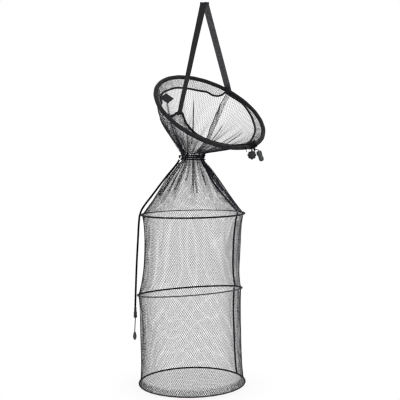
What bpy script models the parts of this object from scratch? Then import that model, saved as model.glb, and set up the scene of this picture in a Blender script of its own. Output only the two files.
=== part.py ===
"""Hanging keep net: webbing strap, tilted padded mouth hoop with a drawcord collar, a gathered neck,
two wire hoops and a netted base hoop. Metres, +Z up, the net seen from the front along +Y.
The origin is the underside of the strap's top fold, where the net hangs on a hook or bar."""

import math

import bmesh
import bpy
from mathutils import Matrix, Vector

# Clearances: between pieces that touch, and between pieces that lie loosely on each other
GAP = 0.0004
LOOSE = 0.0006

# Strap
STRAP_WIDTH = 0.020
STRAP_THICKNESS = 0.0015
FOLD_FLAT = 0.009
FOLD_DROP = 0.006

# Mouth hoop: a rod in a padded sleeve, tilted about its centre
MOUTH_RADIUS = 0.180
MOUTH_CENTRE = Vector((0.0178, 0.0, -0.3304))
MOUTH_TILT = math.radians(39.3)
MOUTH_FACING = math.radians(-54.1)
MOUTH_ROD_RADIUS = 0.0028
SLEEVE_SLACK = 0.0008
SLEEVE_WALL = 0.0028
SLEEVE_SLIT = 0.0016
SLEEVE_RADIUS = MOUTH_ROD_RADIUS + SLEEVE_SLACK + SLEEVE_WALL

# Where the strap's two ends lie, as angles round the mouth hoop, with the front one in from it and above it
STRAP_FRONT_ANGLE = math.radians(59.3)
STRAP_FRONT_INWARD = 0.0262
STRAP_FRONT_RISE = 0.0223
STRAP_FRONT_TWIST = math.radians(46.0)
STRAP_BACK_ANGLE = math.radians(262.0)

# Net body hoops, all bent to nearly the same radius: centre, radius of the wire's middle, roll about Y
# and pitch about X
BODY_Y = -0.050
HOOP_RADIUS = 0.1600
RING_1_EXTRA = -0.0026
RING_2_EXTRA = 0.0003
BASE_EXTRA = 0.0028
RING_1_CENTRE = Vector((-0.0356, BODY_Y, -0.6453))
RING_1_RADIUS = HOOP_RADIUS + RING_1_EXTRA
RING_1_ROLL = math.radians(1.0)
RING_2_CENTRE = Vector((-0.0454, BODY_Y, -0.8839))
RING_2_RADIUS = HOOP_RADIUS + RING_2_EXTRA
RING_2_ROLL = math.radians(4.2)
RING_2_PITCH = math.radians(5.2)
BASE_CENTRE = Vector((-0.0383, BODY_Y, -1.1657))
BASE_RADIUS = HOOP_RADIUS + BASE_EXTRA
BASE_ROLL = math.radians(1.1)
WIRE_RADIUS = 0.0016
HEM_SLACK = 0.0006
HEM_WALL = 0.0006
HEM_SLIT = 0.0008
HEM_RADIUS = WIRE_RADIUS + HEM_SLACK + HEM_WALL

# Netting, in the body open in a plain grid between strips; the fine mesh is the scene's
NET_THICKNESS = 0.0010
NET_COLUMNS = 12
NET_STRIP_WIDTH = 0.0080
NET_BAND_HEIGHT = 0.0100
WALL_OPENINGS_DOWN = 4
CONE_OPENINGS_DOWN = 3
CONE_TOP_BAND = 0.0200
NECK_CENTRE = Vector((-0.0353, BODY_Y, -0.4733))
NECK_RADIUS = 0.0350
NECK_HEIGHT = 0.0230
UPPER_NET_BULGE = 0.016
UPPER_NET_SEWN_DROP = 0.0015
UPPER_PLEATS = 10
CONE_FLARE = 0.006
CONE_PLEATS = 12
PLEAT_DEPTH = 0.0060
WALL_1_WAIST = 0.010
WALL_2_WAIST = 0.006
UPPER_SEAM_ANGLE = math.radians(256.5)
SIDE_SEAM_ANGLE = math.radians(205.0)
SEAM_WIDTH = 0.0050
UPPER_SEAM_WIDTH = 0.0110
SEAM_THICKNESS = 0.0012
BASE_NET_PITCH = 0.0340
BASE_NET_STRAND = 0.0016
BASE_NET_SAG = 0.0003
BASE_RIM_WIDTH = 0.0060

# Collar: its bound edge, as angle along the collar, angle round the hoop,
# distance in from the hoop and height over it
COLLAR_EDGE_RADIUS = 0.0024
COLLAR_SEW_GAP = 0.0012
COLLAR_SEWN_RISE = 0.0030
COLLAR_SAG = 0.0005
COLLAR_EDGE = (
    (0, 1, 0.0230, -0.0130),
    (15, 17, 0.0215, -0.0110),
    (28, 28, 0.0200, -0.0070),
    (41, 41, 0.0180, -0.0030),
    (76, 73, 0.0230, 0.0100),
    (84, 82, 0.0190, 0.0010),
    (92, 92, 0.0150, -0.0015),
    (106, 106, 0.0140, -0.0020),
    (126, 126, 0.0150, -0.0030),
    (146, 146, 0.0165, -0.0040),
    (158, 158, 0.0200, -0.0050),
    (171, 171, 0.0250, -0.0060),
    (190, 190, 0.0255, -0.0065),
    (206, 206, 0.0245, -0.0065),
    (222, 222, 0.0200, -0.0045),
    (238, 238, 0.0150, -0.0015),
    (250, 250, 0.0145, 0.0000),
    (259, 259, 0.0135, -0.0010),
    (267, 267, 0.0260, -0.0085),
    (273, 273, 0.0400, -0.0130),
    (280, 280, 0.0460, -0.0150),
    (287, 287, 0.0430, -0.0148),
    (300, 298, 0.0430, -0.0160),
    (314, 313, 0.0385, -0.0170),
    (330, 329, 0.0322, -0.0164),
    (345, 343, 0.0300, -0.0155),
)
# The edge wraps under the strap's front end, at these angles along the collar and round the strap's end
COLLAR_TIP = ((55, 200), (60, 232), (65, 270), (69, 305))

# Label tag, hung from the collar's edge: its first corner's place on the hoop and its two directions
TAG_LENGTH = 0.031
TAG_HEIGHT = 0.034
TAG_THICKNESS = 0.0010
TAG_ANGLE = math.radians(0.91)
TAG_INWARD = 0.0321
TAG_RISE = -0.0098
TAG_ALONG = Vector((0.807, -0.210, -0.551))
TAG_DOWN = Vector((-0.513, -0.712, -0.479))

# Drawcord
CORD_RADIUS = 0.0014
CORD_SPACING = 2 * CORD_RADIUS + GAP
NECK_TURNS = 2
NECK_COIL_HEIGHT = 0.0128
KNOT_RADIUS = 0.0045
KNOT_SHAPE = (0.8, 1.0, 1.25)
UPPER_CORD_ROUTE = (
    (-0.0771, -0.0500, -0.4803),
    (-0.0805, -0.0530, -0.4870),
    (-0.0925, -0.0585, -0.5030),
    (-0.1222, -0.0690, -0.5390),
    (-0.1545, -0.0790, -0.5820),
    (-0.1860, -0.0880, -0.6240),
    (-0.1957, -0.0900, -0.6475),
)
UPPER_CORD_ACROSS = Vector((0.82, 0, -0.57))
HANGING_CORD_ROUTE = (
    (-0.1960, -0.0900, -0.6492),
    (-0.1985, -0.0900, -0.6750),
    (-0.2013, -0.0900, -0.7240),
    (-0.2045, -0.0900, -0.7800),
    (-0.2068, -0.0900, -0.8300),
    (-0.2090, -0.0900, -0.8900),
    (-0.2100, -0.0900, -0.9250),
)
STOPPER_RADIUS = 0.0053
STOPPER_LENGTH = 0.0322
TAIL_LENGTH = 0.0420
TAIL_LEAN = 0.0480
END_BELL_RADIUS = 0.0055
END_BELL_LENGTH = 0.0250

# Cord lock: a lobed barrel with a sprung plunger, its axis towards the viewer
LOCK_ANGLE = math.radians(152.0)
LOCK_DROP = 0.0275
LOCK_RADIUS = 0.0106
LOCK_LOBE = 0.0012
LOCK_LOBES = 8
LOCK_LENGTH = 0.0220
LOCK_EDGE = 0.0010
LOCK_BACK_WALL = 0.0020
PLUNGER_RADIUS = 0.0045
PLUNGER_SLACK = 0.0005
PLUNGER_CAP_RADIUS = 0.0068
PLUNGER_CAP_LENGTH = 0.0030
PLUNGER_CAP_EDGE = 0.0012
PLUNGER_TRAVEL = 0.0025
SPRING_RADIUS = 0.0032
SPRING_WIRE_RADIUS = 0.0004
SPRING_TURNS = 2.5
SPRING_LENGTH = 0.0054

# Collar cords: two through the lock, and a third that ends in a bell beside it
COLLAR_CORD_RADIUS = 0.0012
COLLAR_CORD_SPACING = 2 * COLLAR_CORD_RADIUS + GAP
COLLAR_CORD_END = 0.0020
BELL_CORD_ANGLE = math.radians(155.0)
BELL_ASIDE = 0.0199
BELL_BELOW = 0.0147
BELL_LENGTH = 0.0330
BELL_RADIUS = 0.0075
BELL_TILT = math.radians(20.0)

# Profiles of the turned pieces, as shares of their radius and of their length from the top
STOPPER_PROFILE = (
    (0.57, 0.0), (0.68, 0.025), (0.72, 0.37), (0.87, 0.59), (1.0, 0.84), (1.0, 0.96), (0.87, 1.0),
)
END_BELL_PROFILE = (
    (0.40, 0.0), (0.55, 0.05), (0.73, 0.24), (0.95, 0.44), (1.0, 0.58), (0.91, 0.74), (0.65, 0.90),
    (0.33, 1.0),
)
BELL_PROFILE = (
    (0.55, 0.0), (0.86, 0.06), (1.0, 0.20), (0.95, 0.38), (0.78, 0.52), (0.90, 0.64), (0.88, 0.80),
    (0.62, 0.94), (0.30, 1.0),
)

# Facets
HOOP_SEGMENTS = 36
MOUTH_SEGMENTS = 40
COLLAR_SEGMENTS = 72
CORD_POINTS = 20
COIL_POINTS = 24
CURL_POINTS = 10


def clear_scene():
    for old in list(bpy.data.objects):
        bpy.data.objects.remove(old, do_unlink=True)


def new_collection(name, hidden=False):
    made = bpy.data.collections.new(name)
    bpy.context.scene.collection.children.link(made)
    made.hide_render = hidden
    return made


clear_scene()
PARTS = new_collection("keep_net")
CUTTERS = new_collection("cutters", hidden=True)


def material(name, colour, roughness, metallic=0.0):
    made = bpy.data.materials.new(name)
    made.use_nodes = True
    made.diffuse_color = (*colour, 1.0)
    shader = made.node_tree.nodes["Principled BSDF"]
    shader.inputs["Base Color"].default_value = (*colour, 1.0)
    shader.inputs["Roughness"].default_value = roughness
    shader.inputs["Metallic"].default_value = metallic
    return made


WEBBING = material("black_webbing", (0.030, 0.030, 0.033), 0.85)
NETTING = material("black_netting", (0.045, 0.043, 0.050), 0.80)
BINDING = material("black_binding", (0.018, 0.018, 0.020), 0.75)
CORD = material("black_cord", (0.020, 0.020, 0.022), 0.80)
STEEL = material("spring_steel", (0.420, 0.420, 0.430), 0.35, 1.0)
PLASTIC = material("black_plastic", (0.030, 0.030, 0.032), 0.45)
LABEL_CLOTH = material("black_label_cloth", (0.022, 0.022, 0.024), 0.70)


def place(name, mesh, look):
    made = bpy.data.objects.new(name, mesh)
    PARTS.objects.link(made)
    mesh.materials.append(look)
    return made


def adopt(name, collection, matrix, look=None):
    """Names the primitive that was just added, and moves it to its place and its collection."""
    made = bpy.context.object
    made.name = made.data.name = name
    for home in list(made.users_collection):
        home.objects.unlink(made)
    collection.objects.link(made)
    made.matrix_world = matrix
    if look:
        made.data.materials.append(look)
    return made


def adopt_cutter(name, matrix):
    made = adopt(name, CUTTERS, matrix)
    made.hide_render = True
    made.display_type = "WIRE"
    return made


def cylinder_cutter(name, matrix, radius, length, vertices):
    bpy.ops.mesh.primitive_cylinder_add(vertices=vertices, radius=radius, depth=length)
    return adopt_cutter(name, matrix)


def box_cutter(name, matrix, size):
    bpy.ops.mesh.primitive_cube_add(size=1)
    made = adopt_cutter(name, matrix)
    made.data.transform(Matrix.Diagonal((*size, 1)))
    return made


def boolean(made, other, operation):
    step = made.modifiers.new(operation.lower(), "BOOLEAN")
    step.operation = operation
    step.object = other
    step.solver = "EXACT"
    return made


def smooth(made, degrees):
    made.data.shade_smooth()
    made.data.set_sharp_from_angle(angle=math.radians(degrees))
    return made


def solidify(made, thickness, offset):
    shell = made.modifiers.new("thickness", "SOLIDIFY")
    shell.thickness = thickness
    shell.offset = offset
    shell.use_even_offset = True
    return made


def sheet_mesh(name, rows, closed):
    """A mesh of rows of points joined by four-sided faces; closed joins each row's ends."""
    shape = bmesh.new()
    grid = [[shape.verts.new(point) for point in row] for row in rows]
    width = len(rows[0])
    steps = width if closed else width - 1
    for upper, lower in zip(grid, grid[1:]):
        for i in range(steps):
            j = (i + 1) % width
            shape.faces.new((upper[i], lower[i], lower[j], upper[j]))
    mesh = bpy.data.meshes.new(name)
    shape.to_mesh(mesh)
    shape.free()
    return mesh


def line_mesh(name, points, closed):
    """A mesh of edges along the points, for a Screw modifier to turn."""
    shape = bmesh.new()
    corners = [shape.verts.new(point) for point in points]
    for first, second in zip(corners, corners[1:]):
        shape.edges.new((first, second))
    if closed:
        shape.edges.new((corners[-1], corners[0]))
    mesh = bpy.data.meshes.new(name)
    shape.to_mesh(mesh)
    shape.free()
    return mesh


def screw(made, steps):
    turn = made.modifiers.new("turn", "SCREW")
    turn.steps = steps
    turn.render_steps = steps
    turn.use_merge_vertices = True
    turn.merge_threshold = 0.00001
    turn.use_smooth_shade = True
    return made


def turned(name, profile, radius, length, look, steps):
    """A turned solid that hangs down its own Z axis from 0 to -length, with flat ends."""
    points = [(share * radius, 0.0, -down * length) for share, down in profile]
    points = [(0.0, 0.0, points[0][2]), *points, (0.0, 0.0, points[-1][2])]
    return screw(place(name, line_mesh(name, points, closed=False), look), steps)


def to_mesh_object(made):
    """Turns a curve object into a mesh object, with its caps welded to its sides."""
    bpy.context.view_layer.update()
    graph = bpy.context.evaluated_depsgraph_get()
    mesh = bpy.data.meshes.new_from_object(made.evaluated_get(graph))
    shape = bmesh.new()
    shape.from_mesh(mesh)
    bmesh.ops.remove_doubles(shape, verts=shape.verts, dist=1e-6)
    shape.to_mesh(mesh)
    shape.free()
    name, matrix = made.name, made.matrix_world.copy()
    bpy.data.objects.remove(made, do_unlink=True)
    solid = bpy.data.objects.new(name, mesh)
    solid.matrix_world = matrix
    PARTS.objects.link(solid)
    return solid


def tube(name, points, radius, look, cyclic=False, sides=8):
    """A round tube along the points, with filled caps."""
    curve = bpy.data.curves.new(name, "CURVE")
    curve.dimensions = "3D"
    curve.bevel_depth = radius
    curve.bevel_resolution = (sides - 4) // 2
    curve.use_fill_caps = True
    line = curve.splines.new("POLY")
    line.points.add(len(points) - 1)
    for knot, point in zip(line.points, points):
        knot.co = (*point, 1.0)
    line.use_cyclic_u = cyclic
    curve.materials.append(look)
    made = bpy.data.objects.new(name, curve)
    PARTS.objects.link(made)
    return made


def catmull_rom(p, t):
    """The point at t, 0 to 1, between the second and the third of four points."""
    return 0.5 * (
        2 * p[1]
        + (p[2] - p[0]) * t
        + (2 * p[0] - 5 * p[1] + 4 * p[2] - p[3]) * t * t
        + (3 * p[1] - p[0] - 3 * p[2] + p[3]) * t * t * t
    )


def smooth_route(route, count):
    """count points on a smooth curve through the route's points."""
    route = [Vector(point) for point in route]
    spans = len(route) - 1
    made = []
    for i in range(count):
        at = i * spans / (count - 1)
        k = min(int(at), spans - 1)
        p = [route[min(max(k + j, 0), spans)] for j in (-1, 0, 1, 2)]
        made.append(catmull_rom(p, at - k))
    return made


def print_least_gap(name, points, radius, points_per_turn):
    """Prints how near a coil's turns come to each other, surface to surface."""
    least = min(
        (points[i] - points[j]).length
        for i in range(len(points))
        for j in range(i + points_per_turn // 2, len(points))
    )
    print(f"{name}: least gap between turns {1000 * (least - 2 * radius):.2f} mm")


def frame_matrix(centre, x_axis, y_axis, z_axis):
    made = Matrix((x_axis, y_axis, z_axis)).transposed().to_4x4()
    made.translation = centre
    return made


def arc(radius, start, end, steps):
    return [
        (radius * math.cos(angle), radius * math.sin(angle))
        for angle in (start + (end - start) * i / steps for i in range(steps + 1))
    ]


def wire_hoop(name, matrix, radius, thickness, segments):
    bpy.ops.mesh.primitive_torus_add(
        major_segments=segments,
        minor_segments=6,
        major_radius=radius,
        minor_radius=thickness,
    )
    made = adopt(name, PARTS, matrix, STEEL)
    made.data.shade_smooth()
    return made


def split_sleeve(name, matrix, radius, outer, wall, slit, segments, steps):
    """A sleeve round a hoop, open in a slit along its inner side where the netting is sewn in."""
    half = math.asin(slit / 2 / outer)
    outside = arc(outer, math.pi - half, -math.pi + half, steps[0])
    inside = arc(outer - wall, -math.pi + half, math.pi - half, steps[1])
    profile = [(radius + x, 0.0, z) for x, z in outside + inside]
    made = screw(place(name, line_mesh(name, profile, closed=True), BINDING), segments)
    made.matrix_world = matrix
    return made


# The mouth hoop's own axes: left along the hoop's high side, near towards the viewer, and its normal
MOUTH_NORMAL = Vector(
    (
        math.sin(MOUTH_TILT) * math.cos(MOUTH_FACING),
        math.sin(MOUTH_TILT) * math.sin(MOUTH_FACING),
        math.cos(MOUTH_TILT),
    )
)
MOUTH_LEFT = MOUTH_NORMAL.cross(Vector((0, 1, 0))).normalized()
MOUTH_NEAR = MOUTH_NORMAL.cross(MOUTH_LEFT)
MOUTH_MATRIX = frame_matrix(MOUTH_CENTRE, MOUTH_LEFT, MOUTH_NEAR, MOUTH_NORMAL)
TOWARDS_VIEWER = Matrix.Rotation(math.radians(90), 4, "X")


def on_mouth(angle, inward=0.0, rise=0.0):
    """A point by its angle round the mouth hoop, its distance in from the rod and its height over it."""
    out = MOUTH_LEFT * math.cos(angle) + MOUTH_NEAR * math.sin(angle)
    return MOUTH_CENTRE + (MOUTH_RADIUS - inward) * out + rise * MOUTH_NORMAL


def on_mouth_facet(angle, inward, rise):
    """The same, on the straight facets of the hoop's sleeve."""
    at = angle / (2 * math.pi) * MOUTH_SEGMENTS
    first, second = (on_mouth(2 * math.pi * k / MOUTH_SEGMENTS, inward, rise) for k in (int(at), int(at) + 1))
    return first.lerp(second, at - int(at))


def level_loop(centre, radius, segments, tilt):
    """Points round a hoop, counted like the mouth's: left, near, right, far."""
    return [
        centre + tilt @ Vector((-radius * math.cos(angle), -radius * math.sin(angle), 0))
        for angle in (2 * math.pi * i / segments for i in range(segments))
    ]


def hoop_tilt(roll, pitch=0.0):
    """Left end down by roll, front up by pitch."""
    return Matrix.Rotation(-roll, 3, "Y") @ Matrix.Rotation(-pitch, 3, "X")


def at_hoop(centre, tilt):
    matrix = tilt.to_4x4()
    matrix.translation = centre
    return matrix


LEVEL = Matrix.Identity(3)
RING_1_TILT = hoop_tilt(RING_1_ROLL)
RING_2_TILT = hoop_tilt(RING_2_ROLL, RING_2_PITCH)
BASE_TILT = hoop_tilt(BASE_ROLL)
STRAP_FRONT = on_mouth(STRAP_FRONT_ANGLE, STRAP_FRONT_INWARD, STRAP_FRONT_RISE)


def strap_back_end():
    """Just clear of the sleeve, on the line from the hoop to the fold."""
    seat = on_mouth(STRAP_BACK_ANGLE)
    up = (-seat).normalized()
    along = -MOUTH_LEFT * math.sin(STRAP_BACK_ANGLE) + MOUTH_NEAR * math.cos(STRAP_BACK_ANGLE)
    stand_off = SLEEVE_RADIUS + STRAP_WIDTH / 2 + LOOSE + STRAP_THICKNESS / 2
    return seat + up * stand_off / math.sin(up.angle(along))


STRAP_BACK = strap_back_end()


def strap_across(down, twist):
    """The strap's crosswise direction: level where it is flat to the viewer, turned about its length by twist."""
    across = (Vector((1, 0, 0)) - down.x * down).normalized()
    return Matrix.Rotation(twist, 3, down) @ across


def strap_side(end, side, twist):
    """One leg as (centre, across, width), from its rounded end to the fold. side is -1 for the front leg.
    It is turned by twist at its end, and less and less towards the fold."""
    fold = Vector((0, side * (FOLD_FLAT + FOLD_DROP) / 2, STRAP_THICKNESS / 2 - FOLD_DROP))
    down = (end - fold).normalized()
    rows = []
    for degrees in (88, 70, 50, 28):
        turn = math.radians(degrees)
        middle = end + down * math.sin(turn) * STRAP_WIDTH / 2
        rows.append((middle, strap_across(down, twist), STRAP_WIDTH * math.cos(turn)))
    for share in (0.0, 0.25, 0.5, 0.75, 0.92, 1.0):
        rows.append((end.lerp(fold, share), strap_across(down, twist * (1 - share**2)), STRAP_WIDTH))
    shoulder = Vector((0, side * (FOLD_FLAT / 2 + FOLD_DROP / 6), STRAP_THICKNESS / 2 - FOLD_DROP / 4))
    rows.append((shoulder, Vector((1, 0, 0)), STRAP_WIDTH))
    rows.append((Vector((0, side * FOLD_FLAT / 2, STRAP_THICKNESS / 2)), Vector((1, 0, 0)), STRAP_WIDTH))
    return rows


def make_strap():
    """From its rounded front end, over the fold, to its rounded back end."""
    rows = strap_side(STRAP_FRONT, -1, STRAP_FRONT_TWIST) + strap_side(STRAP_BACK, 1, 0.0)[::-1]
    strip = [[centre - across * width / 2, centre + across * width / 2] for centre, across, width in rows]
    made = place("strap_webbing", sheet_mesh("strap_webbing", strip, closed=False), WEBBING)
    smooth(solidify(made, STRAP_THICKNESS, 0.0), 60)


def make_mouth_hoop():
    wire_hoop("mouth_hoop_rod", MOUTH_MATRIX, MOUTH_RADIUS, MOUTH_ROD_RADIUS, MOUTH_SEGMENTS)
    split_sleeve(
        "mouth_hoop_sleeve",
        MOUTH_MATRIX,
        MOUTH_RADIUS,
        SLEEVE_RADIUS,
        SLEEVE_WALL,
        SLEEVE_SLIT,
        MOUTH_SEGMENTS,
        steps=(8, 6),
    )


def collar_edge_points():
    """The bound edge of the collar, as (angle along the collar in degrees, point)."""
    found = [
        (label, on_mouth(math.radians(angle), inward, rise)) for label, angle, inward, rise in COLLAR_EDGE
    ]
    down = (STRAP_FRONT - Vector((0, -FOLD_FLAT / 2, 0))).normalized()
    across = strap_across(down, STRAP_FRONT_TWIST)
    reach = STRAP_WIDTH / 2 + COLLAR_EDGE_RADIUS + LOOSE
    for label, turn in COLLAR_TIP:
        angle = math.radians(turn)
        found.append((label, STRAP_FRONT + reach * (across * math.cos(angle) - down * math.sin(angle))))
    return sorted(found, key=lambda item: item[0])


def collar_edge_at(points, label):
    """The edge's point at an angle along the collar, on the smooth closed curve through its points."""
    count = len(points)
    labels = [item[0] for item in points]
    k = max((i for i in range(count) if labels[i] <= label), default=count - 1)
    start = labels[k]
    end = labels[(k + 1) % count] + (360 if k == count - 1 else 0)
    p = [points[(k + j) % count][1] for j in (-1, 0, 1, 2)]
    return catmull_rom(p, (label - start) / (end - start))


def make_collar():
    points = collar_edge_points()
    turns = [360 * i / COLLAR_SEGMENTS for i in range(COLLAR_SEGMENTS)]
    edge = [collar_edge_at(points, degrees) for degrees in turns]
    tube("collar_edge_cord", edge, COLLAR_EDGE_RADIUS, BINDING, cyclic=True, sides=6)
    rows = [[], [], []]
    for degrees, bound in zip(turns, edge):
        seam = on_mouth_facet(math.radians(degrees), SLEEVE_RADIUS + GAP, COLLAR_SEWN_RISE)
        inner = bound + (seam - bound).normalized() * (COLLAR_EDGE_RADIUS + COLLAR_SEW_GAP)
        rows[0].append(seam)
        rows[1].append(seam.lerp(inner, 0.5) - Vector((0, 0, COLLAR_SAG)))
        rows[2].append(inner)
    net = place("collar_net", sheet_mesh("collar_net", rows, closed=True), NETTING)
    solidify(net, NET_THICKNESS, 0.0)


def make_tag():
    along = TAG_ALONG.normalized()
    down = (TAG_DOWN - TAG_DOWN.dot(along) * along).normalized()
    corner = on_mouth(TAG_ANGLE, TAG_INWARD, TAG_RISE)
    centre = corner + along * TAG_LENGTH / 2 + down * TAG_HEIGHT / 2
    bpy.ops.mesh.primitive_cube_add(size=1)
    made = adopt("label_tag", PARTS, frame_matrix(centre, along, down, along.cross(down)), LABEL_CLOTH)
    made.data.transform(Matrix.Diagonal((TAG_LENGTH, TAG_HEIGHT, TAG_THICKNESS, 1)))
    corners = made.modifiers.new("soft_edge", "BEVEL")
    corners.width = TAG_THICKNESS / 4
    corners.segments = 1


def net_tube(name, rows, is_open=None):
    """A tube of netting through closed loops of points, its outer face on the loops.
    is_open(row, column) says which of its cells are left out."""
    mesh = sheet_mesh(name, rows, closed=True)
    if is_open:
        width = len(rows[0])
        shape = bmesh.new()
        shape.from_mesh(mesh)
        left_out = [face for face in shape.faces if is_open(face.index // width, face.index % width)]
        bmesh.ops.delete(shape, geom=left_out, context="FACES")
        shape.to_mesh(mesh)
        shape.free()
    made = place(name, mesh, NETTING)
    return smooth(solidify(made, NET_THICKNESS, -1.0), 60)


def grid_angles(radius, seam_angle):
    """Three columns to each opening round a net: the two edges of a strip and the opening's middle.
    The first strip is centred on the seam."""
    step = 2 * math.pi / NET_COLUMNS
    half = NET_STRIP_WIDTH / 2 / radius
    found = []
    for k in range(NET_COLUMNS):
        strip = seam_angle + k * step
        found += [(strip - half, True), (strip + half, False), (strip + step / 2, False)]
    found = sorted((angle % (2 * math.pi), is_strip) for angle, is_strip in found)
    return [angle for angle, is_strip in found], [is_strip for angle, is_strip in found]


def grid_shares(length, openings, top_band):
    """Rows down a net: the bands' edges as shares of its length, and which of the rows between are bands."""
    shares = [0.0, top_band / length]
    clear = (length - top_band - openings * NET_BAND_HEIGHT) / openings
    for k in range(openings):
        start = top_band + k * (clear + NET_BAND_HEIGHT) + clear
        shares += [start / length, (start + NET_BAND_HEIGHT) / length]
    return shares[:-1] + [1.0], [k % 2 == 0 for k in range(len(shares) - 1)]


def along_loop(loop, angle):
    """The point at an angle round a loop of evenly spaced points, on its straight sides."""
    at = angle / (2 * math.pi) * len(loop)
    i = int(at)
    return loop[i % len(loop)].lerp(loop[(i + 1) % len(loop)], at - i)


def seam_strip(name, rows, angles, angle, width):
    """A sewn seam: a narrow strip along a net, just outside it, at an angle round its loops."""
    strip = []
    count = len(angles)
    i = max((k for k in range(count) if angles[k] <= angle), default=count - 1)
    span = (angles[(i + 1) % count] - angles[i]) % (2 * math.pi)
    share = (angle - angles[i]) % (2 * math.pi) / span
    for k, row in enumerate(rows):
        first, second = row[i], row[(i + 1) % count]
        here = first.lerp(second, share)
        across = (second - first).normalized()
        other = rows[k + 1] if k + 1 < len(rows) else rows[k - 1]
        along = (other[i] - first).normalized()
        out = across.cross(along).normalized()
        if out.dot(here - sum(row, Vector()) / len(row)) < 0:
            out = -out
        here = here + out * (SEAM_THICKNESS / 2 + LOOSE)
        strip.append([here - across * width / 2, here + across * width / 2])
    made = place(name, sheet_mesh(name, strip, closed=False), NETTING)
    solidify(made, SEAM_THICKNESS, 0.0)


def even_angles(segments):
    return [2 * math.pi * i / segments for i in range(segments)]


def blend_rows(top, bottom, angles, shares, shrink):
    """Loops between two loops, each point drawn towards the loops' middle by shrink(share, angle)."""
    middle_top = sum(top, Vector()) / len(top)
    middle_bottom = sum(bottom, Vector()) / len(bottom)
    rows = []
    for share in shares:
        middle = middle_top.lerp(middle_bottom, share)
        row = []
        for angle in angles:
            point = along_loop(top, angle).lerp(along_loop(bottom, angle), share)
            inward = middle - point
            inward.z = 0
            row.append(point + inward.normalized() * shrink(share, angle))
        rows.append(row)
    return rows


def pleat(count, angle, seam_angle):
    """Inward depth of the pleats round a loop, with a ridge where the seam runs."""
    return -PLEAT_DEPTH * math.cos(count * (angle - seam_angle))


def neck_loop(height, segments):
    return level_loop(NECK_CENTRE + Vector((0, 0, height)), NECK_RADIUS, segments, LEVEL)


def make_upper_net():
    """The funnel from the mouth hoop down to the neck, full on its left side and pleated towards the neck."""
    sewn = [
        on_mouth(2 * math.pi * i / MOUTH_SEGMENTS, SLEEVE_RADIUS + GAP, -UPPER_NET_SEWN_DROP)
        for i in range(MOUTH_SEGMENTS)
    ]
    top_of_neck = neck_loop(NECK_HEIGHT / 2, MOUTH_SEGMENTS)

    def shrink(share, angle):
        fullness = 0.55 + 0.45 * math.cos(angle + math.radians(60))
        bulge = UPPER_NET_BULGE * fullness * math.sin(math.pi * share ** 0.7)
        gather = share * math.sin(math.pi * share)
        return gather * pleat(UPPER_PLEATS, angle, UPPER_SEAM_ANGLE) - bulge

    angles = even_angles(MOUTH_SEGMENTS)
    rows = blend_rows(sewn, top_of_neck, angles, (0.0, 0.12, 0.3, 0.55, 0.8, 1.0), shrink)
    rows.append(neck_loop(GAP, MOUTH_SEGMENTS))
    net_tube("upper_net", rows)
    seam_strip("upper_net_seam", rows[:-1], angles, UPPER_SEAM_ANGLE, UPPER_SEAM_WIDTH)


def make_cone():
    """The netting gathered by the drawcord, spreading in pleats from the neck to the first hoop."""
    neck_bottom = neck_loop(-NECK_HEIGHT / 2, HOOP_SEGMENTS)
    ring = inside_hoop(RING_1_CENTRE, RING_1_RADIUS, RING_1_TILT, NET_THICKNESS + GAP)

    def shrink(share, angle):
        gather = 1 - share
        return math.sin(math.pi * share) * (CONE_FLARE + gather * pleat(CONE_PLEATS, angle, SIDE_SEAM_ANGLE))

    angles, strips = grid_angles(RING_1_RADIUS, SIDE_SEAM_ANGLE)
    length = (neck_bottom[0] - ring[0]).length
    shares, bands = grid_shares(length, CONE_OPENINGS_DOWN, CONE_TOP_BAND)
    neck = neck_loop(-GAP, HOOP_SEGMENTS)
    rows = [[along_loop(neck, angle) for angle in angles]]
    rows += blend_rows(neck_bottom, ring, angles, shares, shrink)
    bands = [True] + bands
    net_tube("cone_net", rows, lambda row, column: not bands[row] and not strips[column])
    seam_strip("cone_seam", rows[1:-1], angles, SIDE_SEAM_ANGLE, SEAM_WIDTH)


def inside_hoop(centre, radius, tilt, height):
    """The loop where netting is sewn inside a hoop's hem, at a height over the hoop's plane."""
    return level_loop(centre + tilt @ Vector((0, 0, height)), radius - HEM_RADIUS - GAP, HOOP_SEGMENTS, tilt)


def make_wall(name, seam, top, bottom, waist):
    angles, strips = grid_angles(HOOP_RADIUS, SIDE_SEAM_ANGLE)
    length = (top[0] - bottom[0]).length
    shares, bands = grid_shares(length, WALL_OPENINGS_DOWN, NET_BAND_HEIGHT)
    rows = blend_rows(
        top,
        bottom,
        angles,
        shares,
        lambda share, angle: waist * (1 - abs(2 * share - 1) ** 3),
    )
    net_tube(name, rows, lambda row, column: not bands[row] and not strips[column])
    seam_strip(seam, rows[1:-1], angles, SIDE_SEAM_ANGLE, SEAM_WIDTH)


def make_walls():
    make_wall(
        "wall_net_1",
        "wall_seam_1",
        inside_hoop(RING_1_CENTRE, RING_1_RADIUS, RING_1_TILT, -GAP),
        inside_hoop(RING_2_CENTRE, RING_2_RADIUS, RING_2_TILT, GAP),
        WALL_1_WAIST,
    )
    make_wall(
        "wall_net_2",
        "wall_seam_2",
        inside_hoop(RING_2_CENTRE, RING_2_RADIUS, RING_2_TILT, -GAP),
        inside_hoop(BASE_CENTRE, BASE_RADIUS, BASE_TILT, BASE_NET_STRAND / 2 + GAP),
        WALL_2_WAIST,
    )


def make_hoop(name, centre, radius, tilt):
    matrix = at_hoop(centre, tilt)
    wire_hoop(name + "_wire", matrix, radius, WIRE_RADIUS, HOOP_SEGMENTS)
    split_sleeve(name + "_hem", matrix, radius, HEM_RADIUS, HEM_WALL, HEM_SLIT, HOOP_SEGMENTS, steps=(5, 5))


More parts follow.
